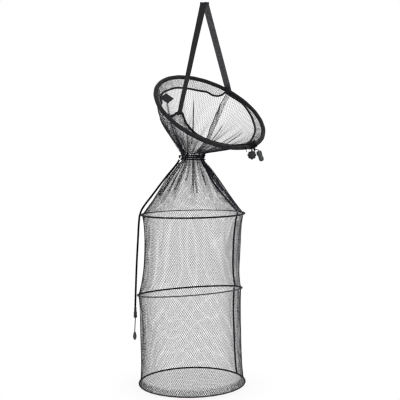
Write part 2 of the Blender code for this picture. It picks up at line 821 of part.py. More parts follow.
def make_base_net():
    """A flat lattice of strands, trimmed round and joined to a rim that is sewn into the base hoop's hem."""
    rim_radius = BASE_RADIUS - HEM_RADIUS - GAP
    cells = math.ceil(2 * rim_radius / BASE_NET_PITCH)
    matrix = at_hoop(BASE_CENTRE - BASE_TILT @ Vector((0, 0, BASE_NET_SAG)), BASE_TILT)
    bpy.ops.mesh.primitive_grid_add(x_subdivisions=cells, y_subdivisions=cells, size=cells * BASE_NET_PITCH)
    made = adopt("base_net", PARTS, matrix, NETTING)
    made.data.transform(Matrix.Rotation(math.radians(45), 4, "Z"))
    strands = made.modifiers.new("strands", "WIREFRAME")
    strands.thickness = BASE_NET_STRAND
    strands.use_even_offset = False
    strands.use_boundary = True
    trim = cylinder_cutter(
        "base_net_trim", matrix, rim_radius - BASE_RIM_WIDTH / 2, 4 * BASE_NET_STRAND, HOOP_SEGMENTS
    )
    rim = cylinder_cutter("base_net_rim", matrix, rim_radius, 1.1 * BASE_NET_STRAND, HOOP_SEGMENTS)
    rim_inside = cylinder_cutter(
        "base_net_rim_inside", matrix, rim_radius - BASE_RIM_WIDTH, 4 * BASE_NET_STRAND, HOOP_SEGMENTS
    )
    boolean(rim, rim_inside, "DIFFERENCE")
    boolean(made, trim, "INTERSECT")
    boolean(made, rim, "UNION")


def make_neck_cord():
    """The drawcord's two turns round the neck, and the knot that ties them on the left."""
    coil_radius = NECK_RADIUS + LOOSE + CORD_RADIUS
    steps = NECK_TURNS * COIL_POINTS
    coil = []
    for i in range(steps):
        share = i / steps
        angle = 2 * math.pi * NECK_TURNS * share + math.radians(4)
        out = Vector((-math.cos(angle), -math.sin(angle), 0))
        coil.append(NECK_CENTRE + coil_radius * out + Vector((0, 0, NECK_COIL_HEIGHT * (0.5 - share))))
    tube("neck_drawcord", coil, CORD_RADIUS, CORD, sides=6)
    print_least_gap("neck_drawcord", coil, CORD_RADIUS, COIL_POINTS)
    knot_out = coil_radius + CORD_RADIUS + GAP + KNOT_RADIUS * KNOT_SHAPE[0]
    bpy.ops.mesh.primitive_uv_sphere_add(segments=12, ring_count=8, radius=KNOT_RADIUS)
    knot = adopt("neck_knot", PARTS, Matrix.Translation(NECK_CENTRE - Vector((knot_out, 0, 0))), CORD)
    knot.data.transform(Matrix.Diagonal((*KNOT_SHAPE, 1)))
    knot.data.shade_smooth()


def shifted(route, step):
    return [Vector(point) + step for point in route]


def make_hanging_cord():
    """The drawcord's double end down the left side, the stopper on it, and the single tail with its bell."""
    for side, name in ((-1, "a"), (1, "b")):
        shift = side * CORD_SPACING / 2
        upper = smooth_route(shifted(UPPER_CORD_ROUTE, shift * UPPER_CORD_ACROSS), CORD_POINTS)
        tube("drawcord_upper_" + name, upper, CORD_RADIUS, CORD)
        hanging = smooth_route(shifted(HANGING_CORD_ROUTE, Vector((shift, 0, 0))), CORD_POINTS)
        tube("drawcord_hanging_" + name, hanging, CORD_RADIUS, CORD)
    stopper_top = Vector(HANGING_CORD_ROUTE[-1]) - Vector((0, 0, GAP))
    stopper = turned("drawcord_stopper", STOPPER_PROFILE, STOPPER_RADIUS, STOPPER_LENGTH, PLASTIC, 16)
    stopper.location = stopper_top
    tail_top = stopper_top - Vector((0, 0, STOPPER_LENGTH + GAP))
    tail_end = tail_top + TAIL_LENGTH * Vector((-TAIL_LEAN, 0, -1))
    tail = [tail_top.lerp(tail_end, i / 7) for i in range(8)]
    tube("drawcord_tail", tail, CORD_RADIUS, CORD)
    bell = turned("drawcord_end_bell", END_BELL_PROFILE, END_BELL_RADIUS, END_BELL_LENGTH, PLASTIC, 16)
    bell.location = tail_end - Vector((0, 0, 2 * GAP))


LOCK_SEAT = on_mouth(LOCK_ANGLE)
LOCK_CENTRE = LOCK_SEAT - Vector((0, 0, LOCK_DROP))
LOCK_FRONT = LOCK_CENTRE.y - LOCK_LENGTH / 2
LOCK_BACK = LOCK_CENTRE.y + LOCK_LENGTH / 2
CORD_HOLE_WIDTH = COLLAR_CORD_SPACING + 2 * COLLAR_CORD_RADIUS + 2 * LOOSE
CORD_HOLE_DEPTH = 2 * COLLAR_CORD_RADIUS + 2 * LOOSE
CORD_HOLE_REACH = 4 * LOCK_RADIUS


def lobed_outline(name):
    """The lock's flat outline with its rounded lobes, given the barrel's length."""
    curve = bpy.data.curves.new(name, "CURVE")
    curve.dimensions = "2D"
    curve.fill_mode = "BOTH"
    curve.extrude = LOCK_LENGTH / 2
    line = curve.splines.new("POLY")
    steps = LOCK_LOBES * 6
    line.points.add(steps - 1)
    for i, knot in enumerate(line.points):
        angle = 2 * math.pi * i / steps
        reach = LOCK_RADIUS + LOCK_LOBE * abs(math.cos(LOCK_LOBES * angle / 2)) ** 0.6
        knot.co = (reach * math.cos(angle), reach * math.sin(angle), 0, 1)
    line.use_cyclic_u = True
    made = bpy.data.objects.new(name, curve)
    PARTS.objects.link(made)
    return made


def make_lock_body():
    """A lobed barrel with a blind bore for the plunger and a hole down through it for the two cords."""
    body = to_mesh_object(lobed_outline("lock_body"))
    body.data.materials.clear()
    body.data.materials.append(PLASTIC)
    body.matrix_world = Matrix.Translation(LOCK_CENTRE) @ TOWARDS_VIEWER
    edge = body.modifiers.new("rounded_ends", "BEVEL")
    edge.width = LOCK_EDGE
    edge.segments = 1
    edge.limit_method = "ANGLE"
    edge.angle_limit = math.radians(75)
    bore_end = LOCK_BACK - LOCK_BACK_WALL
    bore_start = LOCK_FRONT - LOCK_EDGE
    bore_middle = Matrix.Translation((LOCK_CENTRE.x, (bore_start + bore_end) / 2, LOCK_CENTRE.z))
    bore = cylinder_cutter(
        "lock_bore", bore_middle @ TOWARDS_VIEWER, PLUNGER_RADIUS + PLUNGER_SLACK, bore_end - bore_start, 20
    )
    hole = box_cutter(
        "lock_cord_hole",
        Matrix.Translation(LOCK_CENTRE),
        (CORD_HOLE_WIDTH, CORD_HOLE_DEPTH, CORD_HOLE_REACH),
    )
    boolean(body, bore, "DIFFERENCE")
    boolean(body, hole, "DIFFERENCE")


def make_plunger():
    """The push button: a cap, and a rod whose slot lets the cords through while it is pressed."""
    cap_front = LOCK_FRONT - PLUNGER_TRAVEL - GAP - PLUNGER_CAP_LENGTH
    length = LOCK_BACK - LOCK_BACK_WALL - SPRING_LENGTH - cap_front
    profile = (
        (PLUNGER_CAP_RADIUS - PLUNGER_CAP_EDGE, 0.0),
        (PLUNGER_CAP_RADIUS, PLUNGER_CAP_EDGE),
        (PLUNGER_CAP_RADIUS, PLUNGER_CAP_LENGTH),
        (PLUNGER_RADIUS, PLUNGER_CAP_LENGTH),
        (PLUNGER_RADIUS, length),
    )
    plunger = turned("lock_plunger", profile, 1.0, 1.0, PLASTIC, 20)
    plunger.matrix_world = Matrix.Translation((LOCK_CENTRE.x, cap_front, LOCK_CENTRE.z)) @ TOWARDS_VIEWER
    slot = box_cutter(
        "plunger_cord_slot",
        Matrix.Translation(LOCK_CENTRE - Vector((0, PLUNGER_TRAVEL / 2, 0))),
        (CORD_HOLE_WIDTH, CORD_HOLE_DEPTH + PLUNGER_TRAVEL, CORD_HOLE_REACH),
    )
    boolean(plunger, slot, "DIFFERENCE")


def make_lock_spring():
    start = LOCK_BACK - LOCK_BACK_WALL - SPRING_LENGTH + GAP + SPRING_WIRE_RADIUS
    rise = SPRING_LENGTH - 2 * GAP - 2 * SPRING_WIRE_RADIUS
    steps = round(SPRING_TURNS * CURL_POINTS)
    points = []
    for i in range(steps + 1):
        angle = 2 * math.pi * i / CURL_POINTS
        x = LOCK_CENTRE.x + SPRING_RADIUS * math.cos(angle)
        z = LOCK_CENTRE.z + SPRING_RADIUS * math.sin(angle)
        points.append(Vector((x, start + rise * i / steps, z)))
    tube("lock_spring", points, SPRING_WIRE_RADIUS, STEEL, sides=6)
    print_least_gap("lock_spring", points, SPRING_WIRE_RADIUS, CURL_POINTS)


def under_sleeve(seat):
    """Where a cord leaves the mouth hoop's sleeve, straight below a point of its rod."""
    return seat - Vector((0, 0, 1.06 * SLEEVE_RADIUS + GAP))


def make_lock_cords():
    """The collar's two cords, from the mouth hoop down through the lock."""
    bottom = LOCK_CENTRE.z - LOCK_RADIUS - LOCK_LOBE - COLLAR_CORD_END
    for side, name in ((-1, "a"), (1, "b")):
        top = under_sleeve(LOCK_SEAT) + Vector((side * COLLAR_CORD_SPACING / 2, 0, 0))
        end = Vector((top.x, top.y, bottom))
        points = [top.lerp(end, i / 7) for i in range(8)]
        tube("collar_cord_" + name, points, COLLAR_CORD_RADIUS, CORD, sides=6)


def make_cord_end_bell():
    """The bell-shaped end of the collar's third cord, hung beside the lock."""
    top = LOCK_SEAT + Vector((BELL_ASIDE, 0, -BELL_BELOW))
    bell = turned("collar_cord_bell", BELL_PROFILE, BELL_RADIUS, BELL_LENGTH, PLASTIC, 20)
    bell.matrix_world = Matrix.Translation(top) @ Matrix.Rotation(-BELL_TILT, 4, "Y")
    up = Vector((-math.sin(BELL_TILT), 0, math.cos(BELL_TILT)))
    start = under_sleeve(on_mouth(BELL_CORD_ANGLE))
    end = top + up * GAP
    route = (start, start + Vector((0.001, 0, -0.002)), start.lerp(end, 0.6), end + up * 0.002, end)
    tube("collar_cord_c", smooth_route(route, 12), COLLAR_CORD_RADIUS, CORD, sides=6)


def carry(name, matrix, carrier, pieces):
    """An empty on a moving group's axis, with the group's pieces as its children."""
    made = bpy.data.objects.new(name, None)
    made.empty_display_size = 0.05
    made.matrix_world = matrix
    PARTS.objects.link(made)
    if carrier:
        made.parent = carrier
        made.matrix_parent_inverse = carrier.matrix_basis.inverted()
    for piece in pieces:
        child = bpy.data.objects[piece]
        child.parent = made
        child.matrix_parent_inverse = matrix.inverted()
    return made


def carry_all():
    """Each group hangs from the one above it: strap, mouth, first hoop, second hoop, base."""
    swing = (STRAP_BACK - STRAP_FRONT).to_track_quat("Z", "Y").to_matrix().to_4x4()
    swing.translation = STRAP_FRONT
    mouth = carry(
        "mouth_pivot",
        swing,
        None,
        (
            "mouth_hoop_rod", "mouth_hoop_sleeve", "collar_net", "collar_edge_cord", "label_tag",
            "upper_net", "upper_net_seam", "neck_drawcord", "neck_knot", "cone_net", "cone_seam",
            "drawcord_upper_a", "drawcord_upper_b", "collar_cord_a", "collar_cord_b", "collar_cord_c",
            "collar_cord_bell", "lock_body", "lock_spring", "lock_bore", "lock_cord_hole",
        ),
    )
    plunger_matrix = Matrix.Translation(LOCK_CENTRE) @ TOWARDS_VIEWER
    carry("plunger_guide", plunger_matrix, mouth, ("lock_plunger", "plunger_cord_slot"))
    ring_1 = carry(
        "ring_1_guide",
        at_hoop(RING_1_CENTRE, RING_1_TILT),
        mouth,
        (
            "ring_1_wire", "ring_1_hem", "wall_net_1", "wall_seam_1", "drawcord_hanging_a",
            "drawcord_hanging_b", "drawcord_stopper", "drawcord_tail", "drawcord_end_bell",
        ),
    )
    ring_2 = carry(
        "ring_2_guide",
        at_hoop(RING_2_CENTRE, RING_2_TILT),
        ring_1,
        ("ring_2_wire", "ring_2_hem", "wall_net_2", "wall_seam_2"),
    )
    carry(
        "base_guide",
        at_hoop(BASE_CENTRE, BASE_TILT),
        ring_2,
        (
            "base_ring_wire", "base_ring_hem", "base_net",
            "base_net_trim", "base_net_rim", "base_net_rim_inside",
        ),
    )


make_strap()
make_mouth_hoop()
make_collar()
make_tag()
make_upper_net()
make_neck_cord()
make_cone()
make_walls()
make_hoop("ring_1", RING_1_CENTRE, RING_1_RADIUS, RING_1_TILT)
make_hoop("ring_2", RING_2_CENTRE, RING_2_RADIUS, RING_2_TILT)
make_hoop("base_ring", BASE_CENTRE, BASE_RADIUS, BASE_TILT)
make_base_net()
make_hanging_cord()
make_lock_body()
make_plunger()
make_lock_spring()
make_lock_cords()
make_cord_end_bell()
carry_all()
bpy.context.view_layer.update()
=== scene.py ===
"""Looks for the keep net: netting as real strands, webbing strap, padded mouth hoop, cords and fittings.
The hoops, nets, strap and fittings are placed from the CAD source's values, in metres. The collar's edge and the
turned profiles are finer here than in the solids, and the drawcord is thicker, so these have their own values."""

import math

import bmesh
import bpy
import numpy as np
from mathutils import Matrix, Vector


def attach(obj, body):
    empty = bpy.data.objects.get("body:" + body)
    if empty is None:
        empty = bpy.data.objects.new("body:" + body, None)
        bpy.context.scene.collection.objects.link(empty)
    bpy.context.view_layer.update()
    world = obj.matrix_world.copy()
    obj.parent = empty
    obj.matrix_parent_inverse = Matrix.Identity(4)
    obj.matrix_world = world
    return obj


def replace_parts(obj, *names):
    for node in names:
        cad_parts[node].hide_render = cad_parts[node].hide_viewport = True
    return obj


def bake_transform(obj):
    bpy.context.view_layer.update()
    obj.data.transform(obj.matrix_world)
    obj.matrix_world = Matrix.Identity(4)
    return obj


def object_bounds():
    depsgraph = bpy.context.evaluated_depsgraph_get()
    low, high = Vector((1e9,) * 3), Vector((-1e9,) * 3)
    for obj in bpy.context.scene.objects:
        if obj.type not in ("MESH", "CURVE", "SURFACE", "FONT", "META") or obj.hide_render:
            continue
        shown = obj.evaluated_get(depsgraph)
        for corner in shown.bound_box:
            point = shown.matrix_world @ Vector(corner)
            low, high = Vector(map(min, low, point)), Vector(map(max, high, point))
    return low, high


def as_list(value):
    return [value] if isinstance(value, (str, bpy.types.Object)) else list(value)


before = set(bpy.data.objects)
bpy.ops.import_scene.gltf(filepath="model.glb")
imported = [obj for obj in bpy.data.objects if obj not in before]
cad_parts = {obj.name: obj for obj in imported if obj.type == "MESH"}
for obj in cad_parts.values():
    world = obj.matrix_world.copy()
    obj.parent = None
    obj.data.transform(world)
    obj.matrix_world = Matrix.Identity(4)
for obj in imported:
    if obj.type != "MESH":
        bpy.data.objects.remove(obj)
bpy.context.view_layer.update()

TAU = 2 * math.pi

# The CAD source's values, under its names apart from the hoops, which are (centre, radius, roll, pitch) here
GAP = 0.0004
LOOSE = 0.0006
STRAP_WIDTH = 0.020
STRAP_THICKNESS = 0.0015
FOLD_FLAT = 0.009
FOLD_DROP = 0.006
MOUTH_RADIUS = 0.180
MOUTH_CENTRE = Vector((0.0178, 0.0, -0.3304))
MOUTH_TILT = math.radians(39.3)
MOUTH_FACING = math.radians(-54.1)
SLEEVE_RADIUS = 0.0064
STRAP_FRONT_ANGLE = math.radians(59.3)
STRAP_FRONT_INWARD = 0.0262
STRAP_FRONT_RISE = 0.0223
STRAP_FRONT_TWIST = math.radians(46.0)
STRAP_BACK_ANGLE = math.radians(262.0)
BODY_Y = -0.050
HOOP_RADIUS = 0.1600
RING_1 = (Vector((-0.0356, BODY_Y, -0.6453)), HOOP_RADIUS - 0.0026, math.radians(1.0), 0.0)
RING_2 = (Vector((-0.0454, BODY_Y, -0.8839)), HOOP_RADIUS + 0.0003, math.radians(4.2), math.radians(5.2))
BASE = (Vector((-0.0383, BODY_Y, -1.1657)), HOOP_RADIUS + 0.0028, math.radians(1.1), 0.0)
HEM_RADIUS = 0.0028
NECK_CENTRE = Vector((-0.0353, BODY_Y, -0.4733))
NECK_RADIUS = 0.0350
NECK_HEIGHT = 0.0230
UPPER_NET_BULGE = 0.016
UPPER_PLEATS = 10
CONE_FLARE = 0.006
CONE_PLEATS = 12
PLEAT_DEPTH = 0.0060
WALL_1_WAIST = 0.010
WALL_2_WAIST = 0.006
UPPER_SEAM_ANGLE = math.radians(256.5)
SIDE_SEAM_ANGLE = math.radians(205.0)
SEAM_WIDTH = 0.0050
UPPER_SEAM_WIDTH = 0.0110
COLLAR_EDGE_RADIUS = 0.0024
COLLAR_SEWN_RISE = 0.0030
TAG_LENGTH = 0.031
TAG_HEIGHT = 0.034
TAG_ANGLE = math.radians(0.91)
TAG_INWARD = 0.0321
TAG_RISE = -0.0098
TAG_ALONG = Vector((0.807, -0.210, -0.551))
TAG_DOWN = Vector((-0.513, -0.712, -0.479))
CORD_RADIUS = 0.0014
NECK_COIL_HEIGHT = 0.0128
UPPER_CORD_ROUTE = (
    (-0.0771, -0.0500, -0.4803),
    (-0.0805, -0.0530, -0.4870),
    (-0.0925, -0.0585, -0.5030),
    (-0.1222, -0.0690, -0.5390),
    (-0.1545, -0.0790, -0.5820),
    (-0.1860, -0.0880, -0.6240),
    (-0.1957, -0.0900, -0.6475),
)
UPPER_CORD_ACROSS = Vector((0.82, 0, -0.57))
HANGING_CORD_ROUTE = (
    (-0.1960, -0.0900, -0.6492),
    (-0.1985, -0.0900, -0.6750),
    (-0.2013, -0.0900, -0.7240),
    (-0.2045, -0.0900, -0.7800),
    (-0.2068, -0.0900, -0.8300),
    (-0.2090, -0.0900, -0.8900),
    (-0.2100, -0.0900, -0.9250),
)
STOPPER_RADIUS = 0.0053
STOPPER_LENGTH = 0.0322
TAIL_LENGTH = 0.0420
TAIL_LEAN = 0.0480
END_BELL_RADIUS = 0.0055
END_BELL_LENGTH = 0.0250
LOCK_ANGLE = math.radians(152.0)
LOCK_DROP = 0.0275
LOCK_RADIUS = 0.0106
LOCK_LOBE = 0.0012
LOCK_LOBES = 8
LOCK_LENGTH = 0.0220
PLUNGER_TRAVEL = 0.0025
PLUNGER_CAP_RADIUS = 0.0068
PLUNGER_CAP_LENGTH = 0.0030
COLLAR_CORD_RADIUS = 0.0012
COLLAR_CORD_SPACING = 2 * COLLAR_CORD_RADIUS + GAP
COLLAR_CORD_END = 0.0020
BELL_CORD_ANGLE = math.radians(155.0)
BELL_ASIDE = 0.0199
BELL_BELOW = 0.0147
BELL_LENGTH = 0.0330
BELL_RADIUS = 0.0075
BELL_TILT = math.radians(20.0)

# The drawcord, whose two strands touch as they do in the photograph
DRAWCORD_RADIUS = 0.0015
CORD_SPACING = 2 * DRAWCORD_RADIUS

# The collar's edge with the photograph's curls. It lies up to 20 mm from the solids' simpler edge, left of the
# strap's front end. Points are (angle along the collar, angle round the hoop, inward, rise), and at the strap's
# front end (angle along the collar, aside, below).
COLLAR_EDGE = (
    (0, 1, 0.0230, -0.0130),
    (15, 17, 0.0215, -0.0110),
    (26, 27, 0.0200, -0.0080),
    (32, 34, 0.0085, -0.0066),
    (38, 41, 0.0075, -0.0064),
    (45, 49, 0.0075, -0.0062),
    (51, 55.5, 0.0085, 0.0008),
    (78, 72.5, 0.0215, 0.0110),
    (85, 82, 0.0180, 0.0030),
    (92, 91, 0.0140, -0.0008),
    (106, 106, 0.0140, -0.0020),
    (126, 126, 0.0150, -0.0030),
    (146, 146, 0.0165, -0.0040),
    (158, 158, 0.0200, -0.0050),
    (171, 171, 0.0250, -0.0060),
    (190, 190, 0.0255, -0.0065),
    (206, 206, 0.0245, -0.0065),
    (222, 222, 0.0200, -0.0045),
    (238, 238, 0.0150, -0.0015),
    (250, 250, 0.0118, -0.0036),
    (255, 255.5, 0.0085, -0.0064),
    (259, 260, 0.0070, -0.0060),
    (263, 264.2, 0.0120, -0.0040),
    (267, 266.4, 0.0290, -0.0096),
    (273, 271.1, 0.0413, -0.0136),
    (280, 278, 0.0460, -0.0152),
    (287, 285.6, 0.0414, -0.0140),
    (300, 298, 0.0430, -0.0160),
    (314, 313, 0.0385, -0.0170),
    (330, 329, 0.0322, -0.0164),
    (345, 343, 0.0300, -0.0155),
)
COLLAR_TIP = ((58, -0.0130, -0.0006), (62, -0.0066, 0.0040), (67, 0.0066, 0.0042), (72, 0.0125, 0.0035))

# Netting: the side of a diamond, how wide it opens, and the strands
MESH_SIDE = 0.0059
DIAMOND_WIDTH = 0.00608
DIAMOND_ROW = math.sqrt(MESH_SIDE**2 - (DIAMOND_WIDTH / 2) ** 2)
CELLS_BODY = 158
CELLS_MOUTH = 172
STRAND_RADIUS = 0.00036
BASE_DIAMOND_WIDTH = 0.0061
BASE_DIAMOND_LENGTH = 0.0195

# How deep the nets' edges sit in the sleeve, in the hems and in the base hoop's hem
SLEEVE_GRIP = 0.0012
HEM_GRIP = 0.0022
BASE_GRIP = 0.0014

# The share of the upper net above the neck, and the shares of both nets that run through it
UPPER_ABOVE_NECK, UPPER_IN_NECK = 0.93, 0.07
CONE_IN_NECK = 0.06

# The camera, fitted to the photograph: its picture in pixels, its sensor in mm and its place in metres. The wide
# pixel filter softens the fine netting as the photograph's small size does.
PHOTO_WIDTH = 400
FOCAL_LENGTH = 820
HORIZON_ABOVE = 50
SENSOR_WIDTH = 36.0
CAMERA_PLACE = (-0.0140, -2.55, -0.4505)
PIXEL_FILTER = 1.3


def camera():
    data = bpy.data.cameras.new("camera")
    data.lens = FOCAL_LENGTH / PHOTO_WIDTH * SENSOR_WIDTH
    data.sensor_width = SENSOR_WIDTH
    data.clip_end = 50
    made = bpy.data.objects.new("camera", data)
    bpy.context.scene.collection.objects.link(made)
    made.location = CAMERA_PLACE
    made.rotation_euler = (math.radians(90) - math.atan(HORIZON_ABOVE / FOCAL_LENGTH), 0, 0)
    bpy.context.scene.camera = made


camera()

# ---------------------------------------------------------------- materials


class Graph:
    """The node tree of a material or of the world, built up by short calls."""

    def __init__(self, owner):
        owner.use_nodes = True
        self.nodes = owner.node_tree.nodes
        self.links = owner.node_tree.links

    def set(self, node, socket, value):
        target = node.inputs[socket]
        if isinstance(value, bpy.types.NodeSocket):
            self.links.new(value, target)
        else:
            target.default_value = value

    def node(self, kind, **sockets):
        """A node's first output. Names with a capital are its sockets, the others its settings."""
        made = self.nodes.new("ShaderNode" + kind)
        for key, value in sockets.items():
            if hasattr(made, key) and not key[0].isupper():
                setattr(made, key, value)
        for key, value in sockets.items():
            if key[0].isupper():
                self.set(made, key.replace("_", " "), value)
        return made.outputs[0]

    def math(self, operation, a, b=None, c=None):
        made = self.nodes.new("ShaderNodeMath")
        made.operation = operation
        for i, value in enumerate((a, b, c)):
            if value is not None:
                self.set(made, i, value)
        return made.outputs[0]

    def place(self):
        return self.nodes.new("ShaderNodeTexCoord").outputs["Object"]

    def seen(self):
        """1 for what the camera sees, straight, mirrored or through glass, and 0 for light on the object."""
        path = self.nodes.new("ShaderNodeLightPath").outputs
        return self.math(
            "MAXIMUM",
            path["Is Camera Ray"],
            self.math("MAXIMUM", path["Is Glossy Ray"], path["Is Transmission Ray"]),
        )

    def mix(self, share, first, second):
        made = self.nodes.new("ShaderNodeMixShader")
        for socket, value in zip(made.inputs, (share, first, second)):
            self.links.new(value, socket)
        return made.outputs[0]


class Look(Graph):
    """A material with one Principled shader."""

    def __init__(self, name, colour, roughness, metallic=0.0, sheen=0.0, specular=0.5):
        self.material = bpy.data.materials.new(name)
        super().__init__(self.material)
        self.shader = self.nodes["Principled BSDF"]
        self.set(self.shader, "Base Color", (*colour, 1.0))
        self.set(self.shader, "Roughness", roughness)
        self.set(self.shader, "Metallic", metallic)
        self.set(self.shader, "Specular IOR Level", specular)
        if sheen:
            self.set(self.shader, "Sheen Weight", sheen)
            self.set(self.shader, "Sheen Roughness", 0.5)

    def attribute(self, name):
        made = self.nodes.new("ShaderNodeAttribute")
        made.attribute_name = name
        return made.outputs["Fac"]

    def waves(self, value, period):
        return self.math("SINE", self.math("MULTIPLY", value, TAU / period))

    def ramp(self, value, stops):
        made = self.nodes.new("ShaderNodeValToRGB")
        self.links.new(value, made.inputs[0])
        points = made.color_ramp.elements
        while len(points) < len(stops):
            points.new(0.5)
        for point, (at, colour) in zip(points, stops):
            point.position = at
            point.color = (*colour, 1.0)
        return made.outputs[0]

    def bump(self, height, distance, strength=1.0):
        made = self.nodes.new("ShaderNodeBump")
        self.links.new(height, made.inputs["Height"])
        made.inputs["Distance"].default_value = distance
        made.inputs["Strength"].default_value = strength
        self.links.new(made.outputs[0], self.shader.inputs["Normal"])

    def colour(self, socket):
        self.links.new(socket, self.shader.inputs["Base Color"])

    def roughness(self, socket):
        self.links.new(socket, self.shader.inputs["Roughness"])


def mottle(look, scale, stops, detail=4.0):
    """Slow variation of colour over the piece."""
    noise = look.node("TexNoise", Vector=look.place(), Scale=scale, Detail=detail)
    return look.ramp(noise, stops)


def netting_look():
    look = Look("net_strand", (0.02, 0.018, 0.028), 0.70, specular=0.14)
    look.colour(
        mottle(
            look,
            38.0,
            [(0.30, (0.009, 0.008, 0.012)), (0.55, (0.018, 0.016, 0.025)), (0.75, (0.034, 0.030, 0.046))],
        )
    )
    fibre = look.node("TexWave", wave_type="BANDS", Vector=look.place(), Scale=900.0, Distortion=4.0)
    look.bump(fibre, 0.00006, 0.5)
    return look.material


def webbing_look(name, painted_lift):
    """Woven strap: ribs across from warp and weft, rubbed lighter along its edges. The second argument scales its
    whole colour up, which is painted light: a lighter copy of the same webbing for the back leg.
    """
    look = Look(name, (0.02, 0.02, 0.022), 0.80, specular=0.14, sheen=0.04)
    along, across = look.attribute("along"), look.attribute("across")
    warp = look.waves(across, 0.0014)
    weft = look.waves(along, 0.0018)
    woven = look.math("MULTIPLY", warp, weft)
    edge = look.math("POWER", look.math("ABSOLUTE", look.math("MULTIPLY", across, 2 / STRAP_WIDTH)), 6.0)
    noise = look.node("TexNoise", Vector=look.place(), Scale=160.0, Detail=5.0)
    shade = look.math("ADD", look.math("MULTIPLY", woven, 0.16), look.math("MULTIPLY", noise, 0.75))
    shade = look.math("ADD", shade, look.math("MULTIPLY", edge, 0.18))
    stops = ((0.15, (0.007, 0.007, 0.008)), (0.45, (0.017, 0.017, 0.018)), (0.85, (0.040, 0.040, 0.043)))
    # painted light: every stop of the colour is scaled by the second argument
    look.colour(look.ramp(shade, [(place, tuple(c * painted_lift for c in colour)) for place, colour in stops]))
    look.bump(look.math("ADD", woven, look.math("MULTIPLY", warp, 0.5)), 0.00016, 0.9)
    return look.material


# Painted light: the pale grey given to one side of a hoop's binding, where that side's line looks lighter.
PAINTED_PALE = (0.16, 0.16, 0.175)


def binding_look(name, dark, light, pitch):
    """Woven binding: a fine cross weave, rubbed lighter in places, and painted paler where the tone attribute is
    1, which is painted light.
    """
    look = Look(name, dark, 0.75, specular=0.14, sheen=0.03)
    along, across = look.attribute("along"), look.attribute("across")
    rib = look.waves(along, pitch)
    twill = look.math(
        "SINE",
        look.math(
            "ADD",
            look.math("MULTIPLY", along, TAU / (2.2 * pitch)),
            look.math("MULTIPLY", across, TAU / (1.4 * pitch)),
        ),
    )
    noise = look.node("TexNoise", Vector=look.place(), Scale=70.0, Detail=6.0)
    shade = look.math("ADD", look.math("MULTIPLY", twill, 0.09), noise)
    middle = tuple((a + b) / 2 for a, b in zip(dark, light))
    # painted light: the tone attribute lifts the colour towards the pale grey
    shade = look.math("MULTIPLY_ADD", look.attribute("painted_pale_share"), 0.5, look.math("MULTIPLY", shade, 0.5))
    look.colour(look.ramp(shade, [(0.14, dark), (0.275, middle), (0.40, light), (0.85, PAINTED_PALE)]))
    look.bump(look.math("ADD", rib, twill), 0.00010, 0.8)
    return look.material


def cord_look():
    """Round braided cord."""
    look = Look("braided_cord", (0.01, 0.01, 0.011), 0.85, specular=0.06)
    along, across = look.attribute("along"), look.attribute("across")
    forward, turned = look.math("MULTIPLY", along, TAU / 0.0022), look.math("MULTIPLY", across, 3 * TAU)
    left, right = (look.math("SINE", look.math(way, forward, turned)) for way in ("ADD", "SUBTRACT"))
    braid = look.math("MAXIMUM", left, right)
    noise = look.node("TexNoise", Vector=look.place(), Scale=240.0, Detail=3.0)
    shade = look.math("ADD", look.math("MULTIPLY", braid, 0.22), look.math("MULTIPLY", noise, 0.8))
    look.colour(
        look.ramp(
            shade,
            [(0.20, (0.002, 0.002, 0.003)), (0.55, (0.006, 0.006, 0.007)), (0.85, (0.020, 0.020, 0.023))],
        )
    )
    look.bump(braid, 0.00018, 0.9)
    return look.material


def plastic_look(name, dark, light, roughness):
    """Moulded plastic with a fine grain and rubbed marks."""
    look = Look(name, dark, roughness, specular=0.30)
    look.colour(mottle(look, 120.0, [(0.35, dark), (0.75, light)], detail=6.0))
    scuff = look.node("TexNoise", Vector=look.place(), Scale=420.0, Detail=5.0)
    look.roughness(look.math("MULTIPLY_ADD", scuff, 0.35, roughness - 0.12))
    grain = look.node("TexNoise", Vector=look.place(), Scale=2400.0, Detail=2.0)
    look.bump(grain, 0.00004, 0.6)
    return look.material


def label_look():
    """Close satin weave of a sewn label."""
    look = Look("label_satin", (0.012, 0.012, 0.013), 0.60, specular=0.18)
    along, across = look.attribute("along"), look.attribute("across")
    warp = look.waves(along, 0.0006)
    weft = look.waves(across, 0.0009)
    noise = look.node("TexNoise", Vector=look.place(), Scale=200.0, Detail=4.0)
    shade = look.math("ADD", look.math("MULTIPLY", look.math("MULTIPLY", warp, weft), 0.12), noise)
    look.colour(look.ramp(shade, [(0.30, (0.006, 0.006, 0.007)), (0.70, (0.017, 0.017, 0.019))]))
    look.bump(look.math("ADD", warp, weft), 0.00006, 0.7)
    return look.material


def thread_look():
    look = Look("thread", (0.02, 0.02, 0.022), 0.60, specular=0.18)
    look.colour(mottle(look, 300.0, [(0.35, (0.010, 0.010, 0.012)), (0.70, (0.032, 0.032, 0.036))]))
    twist = look.node("TexWave", Vector=look.place(), Scale=1400.0)
    look.bump(twist, 0.00005, 0.6)
    return look.material


def steel_look():
    look = Look("drawn_steel", (0.45, 0.45, 0.46), 0.32, metallic=1.0)
    look.colour(mottle(look, 90.0, [(0.35, (0.36, 0.36, 0.37)), (0.70, (0.52, 0.52, 0.53))]))
    noise = look.node("TexNoise", Vector=look.place(), Scale=600.0, Detail=4.0)
    look.roughness(look.math("MULTIPLY_ADD", noise, 0.25, 0.22))
    return look.material


NET = netting_look()
